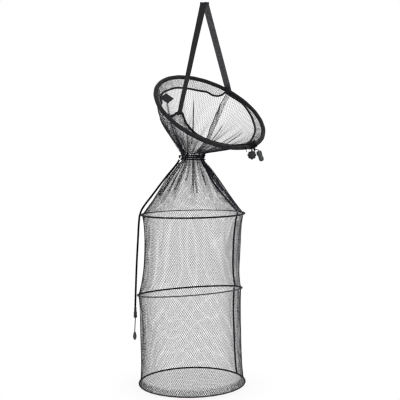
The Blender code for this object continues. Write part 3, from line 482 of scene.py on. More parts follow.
# The back leg's material is the same webbing made 4.6 times lighter: painted light, not wear.
WEBBING = {"front": webbing_look("webbing_weave", 1.0), "back": webbing_look("webbing_weave_painted_lighter", 4.6)}
SLEEVE = binding_look("sleeve_weave", (0.005, 0.005, 0.006), (0.026, 0.026, 0.029), 0.0011)
HEM = binding_look("hem_weave", (0.006, 0.006, 0.008), (0.028, 0.028, 0.033), 0.0008)
SEAM = binding_look("seam_tape", (0.004, 0.004, 0.005), (0.018, 0.017, 0.021), 0.0009)
CORD = cord_look()
PLASTIC = plastic_look("moulded_black", (0.009, 0.009, 0.010), (0.026, 0.026, 0.028), 0.45)
PLASTIC_GREY = plastic_look("moulded_grey", (0.034, 0.036, 0.036), (0.070, 0.073, 0.073), 0.50)
LABEL = label_look()
THREAD = thread_look()
STEEL = steel_look()

# ---------------------------------------------------------------- meshes


def mesh_object(name, points, faces, look, along=None, across=None):
    """An object from arrays of points and of faces with equal numbers of corners."""
    points, faces = np.asarray(points, float), np.asarray(faces, int)
    mesh = bpy.data.meshes.new(name)
    mesh.vertices.add(len(points))
    mesh.vertices.foreach_set("co", points.astype(np.float32).ravel())
    corners = faces.shape[1]
    mesh.loops.add(faces.size)
    mesh.loops.foreach_set("vertex_index", faces.astype(np.int32).ravel())
    mesh.polygons.add(len(faces))
    mesh.polygons.foreach_set("loop_start", np.arange(0, faces.size, corners, dtype=np.int32))
    mesh.update(calc_edges=True)
    for label, values in (("along", along), ("across", across)):
        if values is not None:
            mesh.attributes.new(label, "FLOAT", "POINT").data.foreach_set(
                "value", np.asarray(values, np.float32).ravel()
            )
    mesh.materials.append(look)
    mesh.shade_smooth()
    made = bpy.data.objects.new(name, mesh)
    bpy.context.scene.collection.objects.link(made)
    return made


def ring_faces(index, closed=False):
    """Faces between rings of points, from the points' numbers as (..., ring, point)."""
    upper, lower = (index, np.roll(index, -1, -2)) if closed else (index[..., :-1, :], index[..., 1:, :])
    return np.stack([upper, np.roll(upper, -1, -1), np.roll(lower, -1, -1), lower], -1).reshape(-1, 4)


def close_ends(made, *loops, turn_out=False):
    """Closes a mesh with a face on each loop of its points' numbers."""
    shape = bmesh.new()
    shape.from_mesh(made.data)
    shape.verts.ensure_lookup_table()
    for loop in loops:
        shape.faces.new([shape.verts[i] for i in loop])
    if turn_out:
        bmesh.ops.recalc_face_normals(shape, faces=shape.faces)
    shape.to_mesh(made.data)
    shape.free()


def lengths_along(path):
    """How far along a path each of its points lies."""
    return np.concatenate([[0], np.cumsum(np.linalg.norm(np.diff(path, axis=0), axis=1))])


def unit(vectors):
    return vectors / np.maximum(np.linalg.norm(vectors, axis=-1, keepdims=True), 1e-12)


def array(vector):
    return np.array(vector, float)


def tube(name, path, radius, look, sides=10, closed=False, swell=None):
    """A tube along a path. radius is a number or one for each point; swell(share, angle) adds to it."""
    path = np.asarray(path, float)
    count = len(path)
    if closed:
        tangent = unit(np.roll(path, -1, 0) - np.roll(path, 1, 0))
    else:
        tangent = unit(np.vstack([path[1:], path[-1:]]) - np.vstack([path[:1], path[:-1]]))
    side = np.zeros_like(path)
    first = np.cross(tangent[0], [0.3, 0.2, 1.0])
    side[0] = first / np.linalg.norm(first)
    for i in range(1, count):
        kept = side[i - 1] - tangent[i] * np.dot(side[i - 1], tangent[i])
        side[i] = kept / np.linalg.norm(kept)
    if closed:
        last = side[-1] - tangent[0] * np.dot(side[-1], tangent[0])
        turn = math.atan2(
            np.dot(np.cross(side[0], last / np.linalg.norm(last)), tangent[0]),
            np.dot(side[0], last / np.linalg.norm(last)),
        )
        for i in range(count):
            angle = -turn * i / count
            side[i] = side[i] * math.cos(angle) + np.cross(tangent[i], side[i]) * math.sin(angle)
    up = np.cross(tangent, side)
    around = TAU * np.arange(sides) / sides
    reach = np.broadcast_to(np.asarray(radius, float).reshape(-1, 1), (count, sides)).copy()
    share = np.arange(count) / (count if closed else count - 1)
    if swell is not None:
        reach += swell(share[:, None], around[None, :])
    ring = side[:, None, :] * np.cos(around)[None, :, None] + up[:, None, :] * np.sin(around)[None, :, None]
    points = path[:, None, :] + ring * reach[..., None]
    length = lengths_along(path)
    along = np.repeat(length, sides)
    across = np.tile(around / TAU, count)
    index = np.arange(count * sides).reshape(count, sides)
    faces = ring_faces(index, closed)
    made = mesh_object(name, points.reshape(-1, 3), faces, look, along=along, across=across)
    if not closed:
        close_ends(made, index[0][::-1], index[-1])
    return made


def threads(paths, normals):
    """Points and faces of three-sided strands, from arrays of (strand, point, 3)."""
    tangent = unit(
        np.concatenate(
            [paths[:, 1:2] - paths[:, :1], paths[:, 2:] - paths[:, :-2], paths[:, -1:] - paths[:, -2:-1]], 1
        )
    )
    sideways = unit(np.cross(tangent, normals))
    corners = [math.radians(90 + 120 * i) for i in range(3)]
    ring = np.stack(
        [paths + STRAND_RADIUS * (math.cos(a) * sideways + math.sin(a) * normals) for a in corners], 2
    )
    count, length = paths.shape[:2]
    index = np.arange(count * length * 3).reshape(count, length, 3)
    return ring.reshape(-1, 3), ring_faces(index)


def joined(parts):
    """One set of points and faces from several."""
    points, faces, base = [], [], 0
    for some_points, some_faces in parts:
        points.append(some_points)
        faces.append(some_faces + base)
        base += len(some_points)
    return np.concatenate(points), np.concatenate(faces)


def normals_on(surface, u, v):
    small = 1e-3
    around = surface(u + small, v) - surface(u - small, v)
    down = surface(u, np.minimum(v + small, 1)) - surface(u, np.maximum(v - small, 0))
    return unit(np.cross(around, down))


def strands(surface, rows_at, cells, step):
    """Points and faces of a diamond net over surface(u, v). rows_at are the rows' places, v from 0 to 1."""
    rows = len(rows_at)
    level = np.arange(0, rows, step)
    if level[-1] != rows - 1:
        level = np.append(level, rows - 1)
    parts = []
    for direction in (1, -1):
        k = (np.arange(cells) * 2)[:, None] + direction * level[None, :]
        u = (k % (2 * cells)) / (2 * cells)
        v = np.broadcast_to(rows_at[level], u.shape)
        parts.append(threads(surface(u, v), normals_on(surface, u, v)))
    return joined(parts)


def folded(surface, edges, rows_at, cells):
    """Strands of netting folded back and forth between two lines: edges(v) gives their angles in radians."""
    level = np.arange(len(rows_at))
    parts = []
    for direction in (1, -1):
        turn = (((np.arange(cells) * 2)[:, None] + direction * level[None, :]) % (2 * cells)) / cells
        turn = np.where(turn > 1, 2 - turn, turn)
        v = np.broadcast_to(rows_at, turn.shape)
        left, right = edges(v)
        u = (left + (right - left) * turn) / TAU
        parts.append(threads(surface(u, v), normals_on(surface, u, v)))
    return joined(parts)


def even_rows(surface, cells):
    """Places of the rows down a net whose diamonds keep their side while they close or open."""
    v = np.linspace(0, 1, 61)
    u = np.linspace(0, 1, 241)[:-1]
    grid = surface(*np.meshgrid(u, v, indexing="ij"))
    around = np.linalg.norm(np.roll(grid, -1, 0) - grid, axis=2).sum(0)
    down = np.linalg.norm(np.diff(grid, axis=1), axis=2).mean(0)
    half = around / cells / 2
    height = np.sqrt(np.maximum(MESH_SIDE**2 - half**2, (0.35 * MESH_SIDE) ** 2))
    density = np.concatenate([[0], np.cumsum(down / ((height[1:] + height[:-1]) / 2))])
    rows = int(round(density[-1]))
    rows += rows % 2
    return np.interp(np.arange(rows + 1) / rows * density[-1], density, v)


def net_piece(name, surface, cells, step=1, extra=()):
    """A net and its size when it is laid flat."""
    rows = even_rows(surface, cells)
    points, faces = joined([strands(surface, rows, cells, step), *extra])
    made = mesh_object(name, points, faces, NET)
    print(f"{name}: {len(rows)} rows, {2 * len(faces)} triangles")
    return made, (cells * DIAMOND_WIDTH, (len(rows) - 1) * DIAMOND_ROW)


# ---------------------------------------------------------------- places

MOUTH_NORMAL = Vector(
    (
        math.sin(MOUTH_TILT) * math.cos(MOUTH_FACING),
        math.sin(MOUTH_TILT) * math.sin(MOUTH_FACING),
        math.cos(MOUTH_TILT),
    )
)
MOUTH_LEFT = MOUTH_NORMAL.cross(Vector((0, 1, 0))).normalized()
MOUTH_NEAR = MOUTH_NORMAL.cross(MOUTH_LEFT)


def spread(value):
    return np.asarray(value, float)[..., None]


def on_mouth(angle, inward=0.0, rise=0.0):
    """Points by their angle round the mouth hoop, distance in from its rod and height over it."""
    angle = np.asarray(angle, float)
    out = spread(np.cos(angle)) * array(MOUTH_LEFT) + spread(np.sin(angle)) * array(MOUTH_NEAR)
    reach = MOUTH_RADIUS - np.asarray(inward, float)
    return array(MOUTH_CENTRE) + spread(reach) * out + spread(rise) * array(MOUTH_NORMAL)


def point_on_mouth(angle, inward=0.0, rise=0.0):
    return Vector(on_mouth(angle, inward, rise))


def hoop_axes(roll, pitch):
    return np.array(Matrix.Rotation(-roll, 3, "Y") @ Matrix.Rotation(-pitch, 3, "X"))


def on_hoop(hoop, angle, inward=0.0, rise=0.0):
    """The same for a body hoop: angle from its left end over its near side."""
    centre, radius, roll, pitch = hoop
    angle = np.asarray(angle, float)
    reach = radius - np.asarray(inward, float)
    flat = np.stack(
        [
            -reach * np.cos(angle),
            -reach * np.sin(angle),
            np.broadcast_to(np.asarray(rise, float), angle.shape),
        ],
        -1,
    )
    return array(centre) + flat @ hoop_axes(roll, pitch).T


def on_neck(angle, height):
    angle = np.asarray(angle, float)
    height = np.broadcast_to(np.asarray(height, float), angle.shape)
    return array(NECK_CENTRE) + np.stack(
        [-NECK_RADIUS * np.cos(angle), -NECK_RADIUS * np.sin(angle), height], -1
    )


def catmull_rom(p, t):
    square = 2 * p[0] - 5 * p[1] + 4 * p[2] - p[3]
    cubic = 3 * p[1] - p[0] - 3 * p[2] + p[3]
    return 0.5 * (2 * p[1] + (p[2] - p[0]) * t + square * t * t + cubic * t * t * t)


def smooth_route(route, count):
    route = [Vector(point) for point in route]
    spans = len(route) - 1
    made = []
    for i in range(count):
        at = i * spans / (count - 1)
        k = min(int(at), spans - 1)
        made.append(catmull_rom([route[min(max(k + j, 0), spans)] for j in (-1, 0, 1, 2)], at - k))
    return made


STRAP_FRONT = point_on_mouth(STRAP_FRONT_ANGLE, STRAP_FRONT_INWARD, STRAP_FRONT_RISE)


def strap_back_end():
    seat = point_on_mouth(STRAP_BACK_ANGLE)
    up = (-seat).normalized()
    along = -MOUTH_LEFT * math.sin(STRAP_BACK_ANGLE) + MOUTH_NEAR * math.cos(STRAP_BACK_ANGLE)
    stand_off = SLEEVE_RADIUS + STRAP_WIDTH / 2 + LOOSE + STRAP_THICKNESS / 2
    return seat + up * stand_off / math.sin(up.angle(along))


STRAP_BACK = strap_back_end()
LOCK_SEAT = point_on_mouth(LOCK_ANGLE)
LOCK_CENTRE = LOCK_SEAT - Vector((0, 0, LOCK_DROP))


def under_sleeve(seat):
    return seat - Vector((0, 0, 1.06 * SLEEVE_RADIUS + GAP))


# ---------------------------------------------------------------- cords


def length_of(path):
    return sum((Vector(b) - Vector(a)).length for a, b in zip(path, path[1:]))


def free_cord(name, path, radius, nodes, **facts):
    made = tube(name, [tuple(p) for p in path], radius, CORD, sides=10)
    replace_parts(made, *nodes)
    tuple(path[0])
    round(length_of(path), 4)
    [tuple(p) for p in path]
    return made


def lathe(name, profile, radius, length, look):
    """A turned piece hanging from the origin. The profile is in shares of radius and length from the top."""
    segments = 32
    profile = [(r * radius, t * length) for r, t in profile]
    count = 6 * (len(profile) - 1)
    dense = []
    for i in range(count + 1):
        at = i * (len(profile) - 1) / count
        k = min(int(at), len(profile) - 2)
        p = [Vector(profile[min(max(k + j, 0), len(profile) - 1)]) for j in (-1, 0, 1, 2)]
        dense.append(catmull_rom(p, at - k))
    around = TAU * np.arange(segments) / segments
    r = np.array([max(p[0], 0.0001) for p in dense])[:, None] * np.ones(segments)[None, :]
    z = -np.array([p[1] for p in dense])[:, None] * np.ones(segments)[None, :]
    points = np.stack([r * np.cos(around), r * np.sin(around), z], -1)
    index = np.arange((count + 1) * segments).reshape(count + 1, segments)
    faces = ring_faces(index)[:, [0, 3, 2, 1]]
    made = mesh_object(name, points.reshape(-1, 3), faces, look)
    close_ends(made, index[0], index[-1][::-1])
    made.data.set_sharp_from_angle(angle=math.radians(50))
    return made


STOPPER_PROFILE = (
    (0.45, 0.0),
    (0.62, 0.015),
    (0.69, 0.06),
    (0.71, 0.20),
    (0.72, 0.37),
    (0.79, 0.50),
    (0.87, 0.60),
    (0.96, 0.74),
    (1.0, 0.85),
    (1.0, 0.95),
    (0.93, 0.985),
    (0.78, 1.0),
)
END_BELL_PROFILE = (
    (0.30, 0.0),
    (0.46, 0.02),
    (0.56, 0.07),
    (0.64, 0.15),
    (0.73, 0.24),
    (0.86, 0.34),
    (0.95, 0.45),
    (1.0, 0.58),
    (0.93, 0.73),
    (0.80, 0.83),
    (0.62, 0.92),
    (0.42, 0.98),
    (0.25, 1.0),
)
BELL_PROFILE = (
    (0.40, 0.0),
    (0.66, 0.015),
    (0.86, 0.06),
    (0.97, 0.13),
    (1.0, 0.21),
    (0.97, 0.33),
    (0.90, 0.43),
    (0.80, 0.50),
    (0.80, 0.55),
    (0.89, 0.62),
    (0.90, 0.76),
    (0.84, 0.87),
    (0.66, 0.95),
    (0.42, 0.99),
    (0.25, 1.0),
)


# The bell is wider than its solid, and its cord runs on inside it
BELL_FULLNESS = 1.12
BELL_CORD_INSIDE = 0.012


def make_drawcord():
    stopper_top = Vector(HANGING_CORD_ROUTE[-1]) - Vector((0, 0, GAP))
    stopper = lathe("stopper", STOPPER_PROFILE, STOPPER_RADIUS, STOPPER_LENGTH, PLASTIC)
    stopper.location = stopper_top
    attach(stopper, "ring_1")
    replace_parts(stopper, "drawcord_stopper")
    collar = lathe(
        "stopper_collar",
        ((1.0, 0.0), (1.08, 0.2), (1.1, 0.5), (1.08, 0.8), (1.0, 1.0)),
        STOPPER_RADIUS * 0.9,
        0.0032,
        PLASTIC,
    )
    collar.location = stopper_top - Vector((0, 0, 0.0145))
    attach(collar, "ring_1")
    for side, name in ((-1, "a"), (1, "b")):
        shift = side * CORD_SPACING / 2
        upper = smooth_route([Vector(p) + shift * UPPER_CORD_ACROSS for p in UPPER_CORD_ROUTE], 40)
        hanging = smooth_route([Vector(p) + Vector((shift, 0, 0)) for p in HANGING_CORD_ROUTE], 50)
        made = free_cord(
            "drawcord_" + name,
            upper + hanging,
            DRAWCORD_RADIUS,
            ("drawcord_upper_" + name, "drawcord_hanging_" + name),
            far_end="fitting" if name == "a" else "object",
            lay="hanging",
            with_pieces=[stopper, collar] if name == "a" else [],
        )
        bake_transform(made)
    tail_top = stopper_top - Vector((0, 0, STOPPER_LENGTH + GAP))
    tail_end = tail_top + TAIL_LENGTH * Vector((-TAIL_LEAN, 0, -1))
    bell = lathe("end_bell", END_BELL_PROFILE, END_BELL_RADIUS, END_BELL_LENGTH, PLASTIC_GREY)
    bell.location = tail_end - Vector((0, 0, 2 * GAP))
    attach(bell, "ring_1")
    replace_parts(bell, "drawcord_end_bell")
    tail = free_cord(
        "drawcord_tail_cord",
        [tail_top.lerp(tail_end, i / 19) for i in range(20)],
        DRAWCORD_RADIUS,
        ("drawcord_tail",),
        far_end="fitting",
        lay="hanging",
        with_pieces=[bell],
    )
    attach(tail, "ring_1")


def make_collar_cords():
    bottom = LOCK_CENTRE.z - LOCK_RADIUS - LOCK_LOBE - COLLAR_CORD_END
    for side, name in ((-1, "a"), (1, "b")):
        top = under_sleeve(LOCK_SEAT) + Vector((side * COLLAR_CORD_SPACING / 2, 0, 0))
        end = Vector((top.x, top.y, bottom))
        made = free_cord(
            "lock_cord_" + name,
            [top.lerp(end, i / 17) for i in range(18)],
            COLLAR_CORD_RADIUS,
            ("collar_cord_" + name,),
            far_end="bare",
            lay="hanging",
        )
        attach(made, "mouth")
    top = LOCK_SEAT + Vector((BELL_ASIDE, 0, -BELL_BELOW))
    bell = lathe("cord_bell", BELL_PROFILE, BELL_FULLNESS * BELL_RADIUS, BELL_LENGTH, PLASTIC_GREY)
    bell.matrix_world = Matrix.Translation(top) @ Matrix.Rotation(-BELL_TILT, 4, "Y")
    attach(bell, "mouth")
    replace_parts(bell, "collar_cord_bell")
    up = Vector((-math.sin(BELL_TILT), 0, math.cos(BELL_TILT)))
    start = under_sleeve(point_on_mouth(BELL_CORD_ANGLE))
    end = top + up * GAP
    route = smooth_route(
        (start, start + Vector((0.001, 0, -0.002)), start.lerp(end, 0.6), end + up * 0.002, end), 24
    )
    route += [end - up * BELL_CORD_INSIDE * i / 8 for i in range(1, 9)]
    made = free_cord(
        "bell_cord",
        route,
        COLLAR_CORD_RADIUS,
        ("collar_cord_c",),
        far_end="fitting",
        lay="hanging",
        with_pieces=[bell],
    )
    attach(made, "mouth")


make_drawcord()
make_collar_cords()

# ---------------------------------------------------------------- netting


def toward(middle, point):
    """Level unit vectors from points to the middle."""
    inward = middle - point
    inward[..., 2] = 0
    return unit(inward)


def turn_from(middle, angle):
    """The turn from one angle to others, from -pi to pi."""
    return (angle - middle + math.pi) % TAU - math.pi


def hump(angle, middle, width):
    """1 at middle, falling away over width on both sides."""
    return np.exp(-((turn_from(middle, angle) / width) ** 2))


def ripple(angle, v, terms):
    """A sum of waves round and down a net: (size, times round, times down, phase)."""
    total = 0.0
    for size, turns, down, phase in terms:
        total = total + size * np.sin(turns * angle + TAU * down * v + phase)
    return total


def pinched(angle, share, folds):
    """Draws strands together into folds: (angle at the top, at the bottom, half width, strength, from, to)."""
    for top, bottom, width, strength, start, end in folds:
        middle = math.radians(top) * (1 - share) + math.radians(bottom) * share
        off = turn_from(middle, angle)
        at = np.clip((share - start) / (end - start), 0, 1)
        draw = strength * np.sin(math.pi * at**0.7)
        angle = angle - draw * off * np.exp(-((off / math.radians(width)) ** 2))
    return angle


def drawn(angle, centre, amount):
    """Moves strands round a net towards centre, in radians, where they then lie closer."""
    return angle - amount * np.sin(angle - centre)


UPPER_FOLDS = (
    (302, 287, 3.0, 0.80, 0.22, 1.0),
    (316, 300, 4.5, 0.45, 0.10, 0.95),
    (262, 252, 4.2, 0.72, 0.02, 1.1),
    (250, 228, 2.5, 0.60, 0.38, 0.95),
    (214, 190, 3.0, 0.60, 0.28, 0.90),
    (342, 330, 5.0, 0.50, 0.00, 1.0),
    (28, 22, 5.0, 0.50, 0.08, 1.1),
    (52, 40, 4.0, 0.62, 0.05, 1.1),
    (75, 62, 4.5, 0.35, 0.15, 1.1),
    (112, 118, 5.0, 0.35, 0.20, 1.1),
    (150, 160, 5.0, 0.50, 0.20, 1.1),
)
UPPER_LAYERS = (
    (0.0030, 0.40, 0.93, (-20, -12), (84, 78), 16),
    (0.0060, 0.20, 0.93, (14, 14), (92, 90), 9),
    (0.0040, 0.40, 0.93, (118, 118), (160, 150), 8),
    (0.0045, 0.45, 0.93, (318, 330), (356, 350), 16),
    (0.0025, 0.84, 1.00, (0, 0), (360, 360), 104),
    (0.0020, 0.26, 0.82, (297.8, 285.5), (298.1, 289.5), 6),
    (0.0020, 0.42, 0.76, (246, 235), (246.5, 239), 5),
    (0.0020, 0.30, 0.66, (208, 194), (208.4, 198), 5),
    (-0.0015, 0.03, 0.93, (117, 160), (120, 172), 7),
)
CONE_LAYERS = (
    (0.0025, 0.03, 0.60, (134, 158), (176, 172), 22),
    (0.0045, 0.03, 0.42, (140, 150), (206, 190), 20),
    (0.0025, 0.03, 0.66, (12, 14), (44, 27), 19),
    (0.0040, 0.00, 0.55, (44, 50), (60, 52), 8),
    (0.0040, 0.00, 0.40, (68, 70), (84, 72), 7),
    (0.0040, 0.00, 0.60, (90, 97), (104, 99), 7),
    (0.0040, 0.00, 0.48, (112, 118), (126, 120), 7),
)
# How far the seams drift round from the solids': the cone's near the neck, the lower wall's all the way down
CONE_SEAM_DRIFT = math.radians(18)
WALL_2_SEAM_DRIFT = math.radians(2.5)
WALL_2_LAYERS = (
    (0.0015, 0.925, 1.00, (12, 12), (168, 168), 104),
    (0.0028, 0.945, 1.00, (20, 20), (160, 160), 130),
)
CONE_FOLDS = (
    (12, 20, 4.0, 0.60, -0.3, 0.75),
    (38, 36, 3.0, 0.68, -0.3, 0.62),
    (63, 58, 2.6, 0.66, -0.3, 0.80),
    (84, 80, 2.6, 0.36, -0.3, 0.45),
    (104, 108, 2.6, 0.66, -0.3, 0.66),
    (127, 124, 2.6, 0.62, -0.3, 0.72),
    (150, 149, 3.5, 0.60, -0.3, 0.60),
    (215, 222, 5.0, 0.50, -0.3, 0.70),
    (335, 325, 5.0, 0.50, -0.3, 0.70),
)


def upper_surface(u, v):
    """The funnel from the mouth hoop to the neck. Its last tenth runs down through the neck."""
    share = np.clip(v / UPPER_ABOVE_NECK, 0, 1)
    angle = TAU * u
    turned = drawn(angle, math.radians(18), 0.42 * share**0.7)
    turned = turned + share**2 * ripple(
        angle, share, ((0.10, 7, 0.10, 0.4), (0.060, 13, 0.0, 2.1), (0.030, 23, 0.2, 0.9))
    )
    return upper_at(pinched(turned, share, UPPER_FOLDS) / TAU, v)


def upper_at(u, v):
    """The same by the place round the funnel itself, however its strands are drawn together."""
    share = np.clip(v / UPPER_ABOVE_NECK, 0, 1)
    turned = TAU * u
    gathered = share * np.sin(math.pi * share)
    bunch = share**2
    high = on_mouth(turned, SLEEVE_RADIUS - SLEEVE_GRIP, -0.0015)
    low = on_neck(turned, NECK_HEIGHT / 2)
    neck_top = array(NECK_CENTRE) + [0, 0, NECK_HEIGHT / 2]
    middle = array(MOUTH_CENTRE) * spread(1 - share) + neck_top * spread(share)
    point = high * spread(1 - share) + low * spread(share)
    fullness = 0.55 + 0.45 * np.cos(turned + math.radians(60)) + 0.60 * hump(turned, math.radians(150), 0.5)
    fullness = fullness + 0.80 * hump(turned, math.radians(24), 0.75) * np.clip(share / 0.35, 0, 1)
    bulge = UPPER_NET_BULGE * fullness * np.sin(math.pi * share**0.7)
    warp = 0.10 * np.sin(3 * turned + 0.7) + 0.06 * np.sin(5 * turned + 2.0)
    depth = -PLEAT_DEPTH * gathered * np.cos(UPPER_PLEATS * (turned - UPPER_SEAM_ANGLE + warp))
    depth = depth + 0.0021 * bunch * np.cos(27 * turned + 1.1) + 0.0012 * bunch * np.cos(41 * turned + 0.3)
    depth = depth + 0.0012 * np.sin(math.pi * share) * np.sin(17 * turned + 5 * share)
    point = point + toward(middle, point) * spread(depth - bulge)
    lower = np.clip((v - UPPER_ABOVE_NECK) / UPPER_IN_NECK, 0, 1)
    tucked = toward(middle, point) * spread(0.0012 * lower)
    return point - spread(lower) * [0, 0, NECK_HEIGHT / 2 + 0.0030] + tucked


def cone_surface(u, v):
    """From the middle of the neck, through it, and out to the first body hoop."""
    share = np.clip((v - CONE_IN_NECK) / (1 - CONE_IN_NECK), 0, 1)
    angle = TAU * u
    turned = angle + (1 - share) ** 1.6 * ripple(
        angle, share, ((0.085, 8, 0.12, 2.6), (0.060, 14, 0.05, 0.2), (0.032, 24, 0.1, 1.3))
    )
    return cone_at(pinched(turned, share, CONE_FOLDS) / TAU, v)


def cone_at(u, v):
    upper = np.clip(v / CONE_IN_NECK, 0, 1)
    share = np.clip((v - CONE_IN_NECK) / (1 - CONE_IN_NECK), 0, 1)
    gather = 1 - share
    turned = TAU * u
    high = on_neck(turned, -NECK_HEIGHT / 2)
    low = on_hoop(RING_1, turned, HEM_GRIP, 0.0)
    neck_foot = array(NECK_CENTRE) - [0, 0, NECK_HEIGHT / 2]
    middle = neck_foot * spread(gather) + array(RING_1[0]) * spread(share)
    point = high * spread(gather) + low * spread(share)
    warp = 0.09 * np.sin(3 * turned + 1.9) + 0.05 * np.sin(5 * turned + 0.4)
    swell = np.sin(math.pi * share)
    depth = swell * (
        CONE_FLARE - gather * PLEAT_DEPTH * np.cos(CONE_PLEATS * (turned - SIDE_SEAM_ANGLE + warp))
    )
    edge = np.clip(share / 0.06, 0, 1)
    depth = depth + edge * gather**2.2 * (
        0.0026 * np.cos(29 * turned + 0.5) + 0.0014 * np.cos(43 * turned + 2.2)
    )
    depth = depth + 0.0009 * swell * np.sin(19 * turned + 4 * share)
    for side, size, wide, early in ((0.0, 0.0090, 0.60, 0.75), (math.pi, 0.0040, 0.75, 0.62)):
        depth = depth - size * hump(turned, side, wide) * np.sin(math.pi * np.clip(share, 0, 1) ** early)
    point = point + toward(middle, point) * spread(depth)
    tucked = toward(middle, point) * spread(0.0028 * (1 - upper))
    return point + spread(1 - upper) * [0, 0, NECK_HEIGHT / 2 + 0.0030] + tucked


def wall_surface(top, bottom, waist, seed):
    def surface(u, v):
        angle = TAU * u
        high = on_hoop(top, angle, HEM_GRIP, -0.0002)
        low = on_hoop(bottom, angle, HEM_GRIP, 0.0002)
        point = high * spread(1 - v) + low * spread(v)
        middle = array(top[0]) * spread(1 - v) + array(bottom[0]) * spread(v)
        draw = waist * (1 - np.abs(2 * v - 1) ** 3)
        body = np.sin(math.pi * v)
        near_top = np.sin(math.pi * np.clip(v, 0, 1)) * (1 - v) ** 2
        creases = near_top * ripple(
            angle, v, ((0.0022, 15, 0.05, seed), (0.0014, 23, 0.0, 2 * seed), (0.0009, 37, 0.1, seed + 1))
        )
        slack = body * ripple(
            angle, v, ((0.0016, 5, 0.3, seed), (0.0010, 9, -0.5, seed + 2), (0.0006, 14, 0.8, 3 * seed))
        )
        return point + toward(middle, point) * spread(draw + creases + slack)

    return surface


WALL_1 = wall_surface(RING_1, RING_2, WALL_1_WAIST, 0.7)
WALL_2 = wall_surface(RING_2, BASE, WALL_2_WAIST, 2.3)


def middle_of(surface, v):
    """The middle of a net at places down it."""
    return np.mean([surface(np.full_like(v, k / 8), v) for k in range(8)], 0)


def moved_in(surface, depth):
    """A second layer of a net, closer to its middle."""

    def layer(u, v):
        point = surface(u, v)
        return point + toward(middle_of(surface, v), point) * depth

    return layer


def folded_layers(surface, place, cells_round, spans):
    """Where a net is drawn in, it lies folded over itself."""
    rows = even_rows(surface, cells_round)
    layers = []
    for depth, start, end, left, right, cells in spans:
        some = rows[(rows >= start) & (rows <= end)]
        edges = lambda v: [np.radians(np.interp(v, (start, end), pair)) for pair in (left, right)]
        layers.append(folded(moved_in(place, depth), edges, some, cells))
    return layers


def follow(piece, net):
    """Bakes the placement of a net, or of a seam on it, into its mesh."""
    above, below, start, end = {
        "cone": ("mouth", "ring_1", NECK_CENTRE - Vector((0, 0, 0.014)), RING_1[0] + Vector((0, 0, 0.004))),
        "wall_1": ("ring_1", "ring_2", RING_1[0] - Vector((0, 0, 0.004)), RING_2[0] + Vector((0, 0, 0.020))),
        "wall_2": ("ring_2", "base", RING_2[0] - Vector((0, 0, 0.020)), BASE[0] + Vector((0, 0, 0.004))),
    }[net]
    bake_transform(piece)
    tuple(start)
    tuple(end)


def make_nets():
    upper, upper_cut = net_piece(
        "netting_upper",
        upper_surface,
        CELLS_MOUTH,
        extra=folded_layers(upper_surface, upper_at, CELLS_MOUTH, UPPER_LAYERS),
    )
    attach(upper, "mouth")
    cone, cone_cut = net_piece(
        "netting_cone",
        cone_surface,
        CELLS_BODY,
        extra=folded_layers(cone_surface, cone_at, CELLS_BODY, CONE_LAYERS),
    )
    follow(cone, "cone")
    wall_1, wall_1_cut = net_piece("netting_wall_1", WALL_1, CELLS_BODY, step=2)
    follow(wall_1, "wall_1")
    hem_layers = folded_layers(WALL_2, WALL_2, CELLS_BODY, WALL_2_LAYERS)
    wall_2, wall_2_cut = net_piece("netting_wall_2", WALL_2, CELLS_BODY, step=2, extra=hem_layers)
    follow(wall_2, "wall_2")
    for made, node, size, hems in (
        (upper, "upper_net", upper_cut, ["mouth_hoop_sleeve"]),
        (cone, "cone_net", cone_cut, ["ring_1_hem"]),
        (wall_1, "wall_net_1", wall_1_cut, ["ring_1_hem"]),
        (wall_2, "wall_net_2", wall_2_cut, ["ring_2_hem"]),
    ):
        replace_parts(made, node)
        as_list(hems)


def make_base_netting():
    """Two sets of straight strands across the base hoop, in diamonds drawn out towards the viewer."""
    centre, radius, roll, pitch = BASE
    rim = radius - BASE_GRIP
    axes = hoop_axes(roll, pitch)
    lean = math.atan2(BASE_DIAMOND_LENGTH, BASE_DIAMOND_WIDTH)
    apart = BASE_DIAMOND_WIDTH * math.sin(lean)
    parts = []
    for turn in (lean, -lean):
        direction = np.array([math.cos(turn), math.sin(turn)])
        off = apart * np.arange(-int(rim / apart), int(rim / apart) + 1)
        off = off[np.abs(off) < rim - 0.0001]
        reach = np.sqrt(rim**2 - off**2)[:, None] * np.linspace(-1, 1, 27)[None, :]
        flat = spread(off)[..., None] * [-direction[1], direction[0]] + spread(reach) * direction
        inside = 1 - np.linalg.norm(flat, axis=2) / rim
        wave = 0.0006 * np.sin(40 * flat[..., 0] + 1.0) * np.sin(33 * flat[..., 1] + 0.4)
        line = np.concatenate([flat, spread(wave * inside)], 2)
        parts.append(threads(line @ axes.T + array(centre), np.broadcast_to(axes @ [0, 0, 1.0], line.shape)))
    made = mesh_object("netting_base", *joined(parts), NET)
    print(f"netting_base: {2 * len(made.data.polygons)} triangles")
    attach(made, "base")
    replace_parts(made, "base_net")


# The collar


def strap_across(down, twist):
    across = (Vector((1, 0, 0)) - down.x * down).normalized()
    return Matrix.Rotation(twist, 3, down) @ across


def collar_edge_points():
    found = [
        (label, point_on_mouth(math.radians(angle), inward, rise))
        for label, angle, inward, rise in COLLAR_EDGE
    ]
    down = (STRAP_FRONT - Vector((0, -FOLD_FLAT / 2, 0))).normalized()
    across = strap_across(down, STRAP_FRONT_TWIST)
    for label, aside, below in COLLAR_TIP:
        found.append((label, STRAP_FRONT + aside * across + below * down))
    return sorted(found, key=lambda item: item[0])


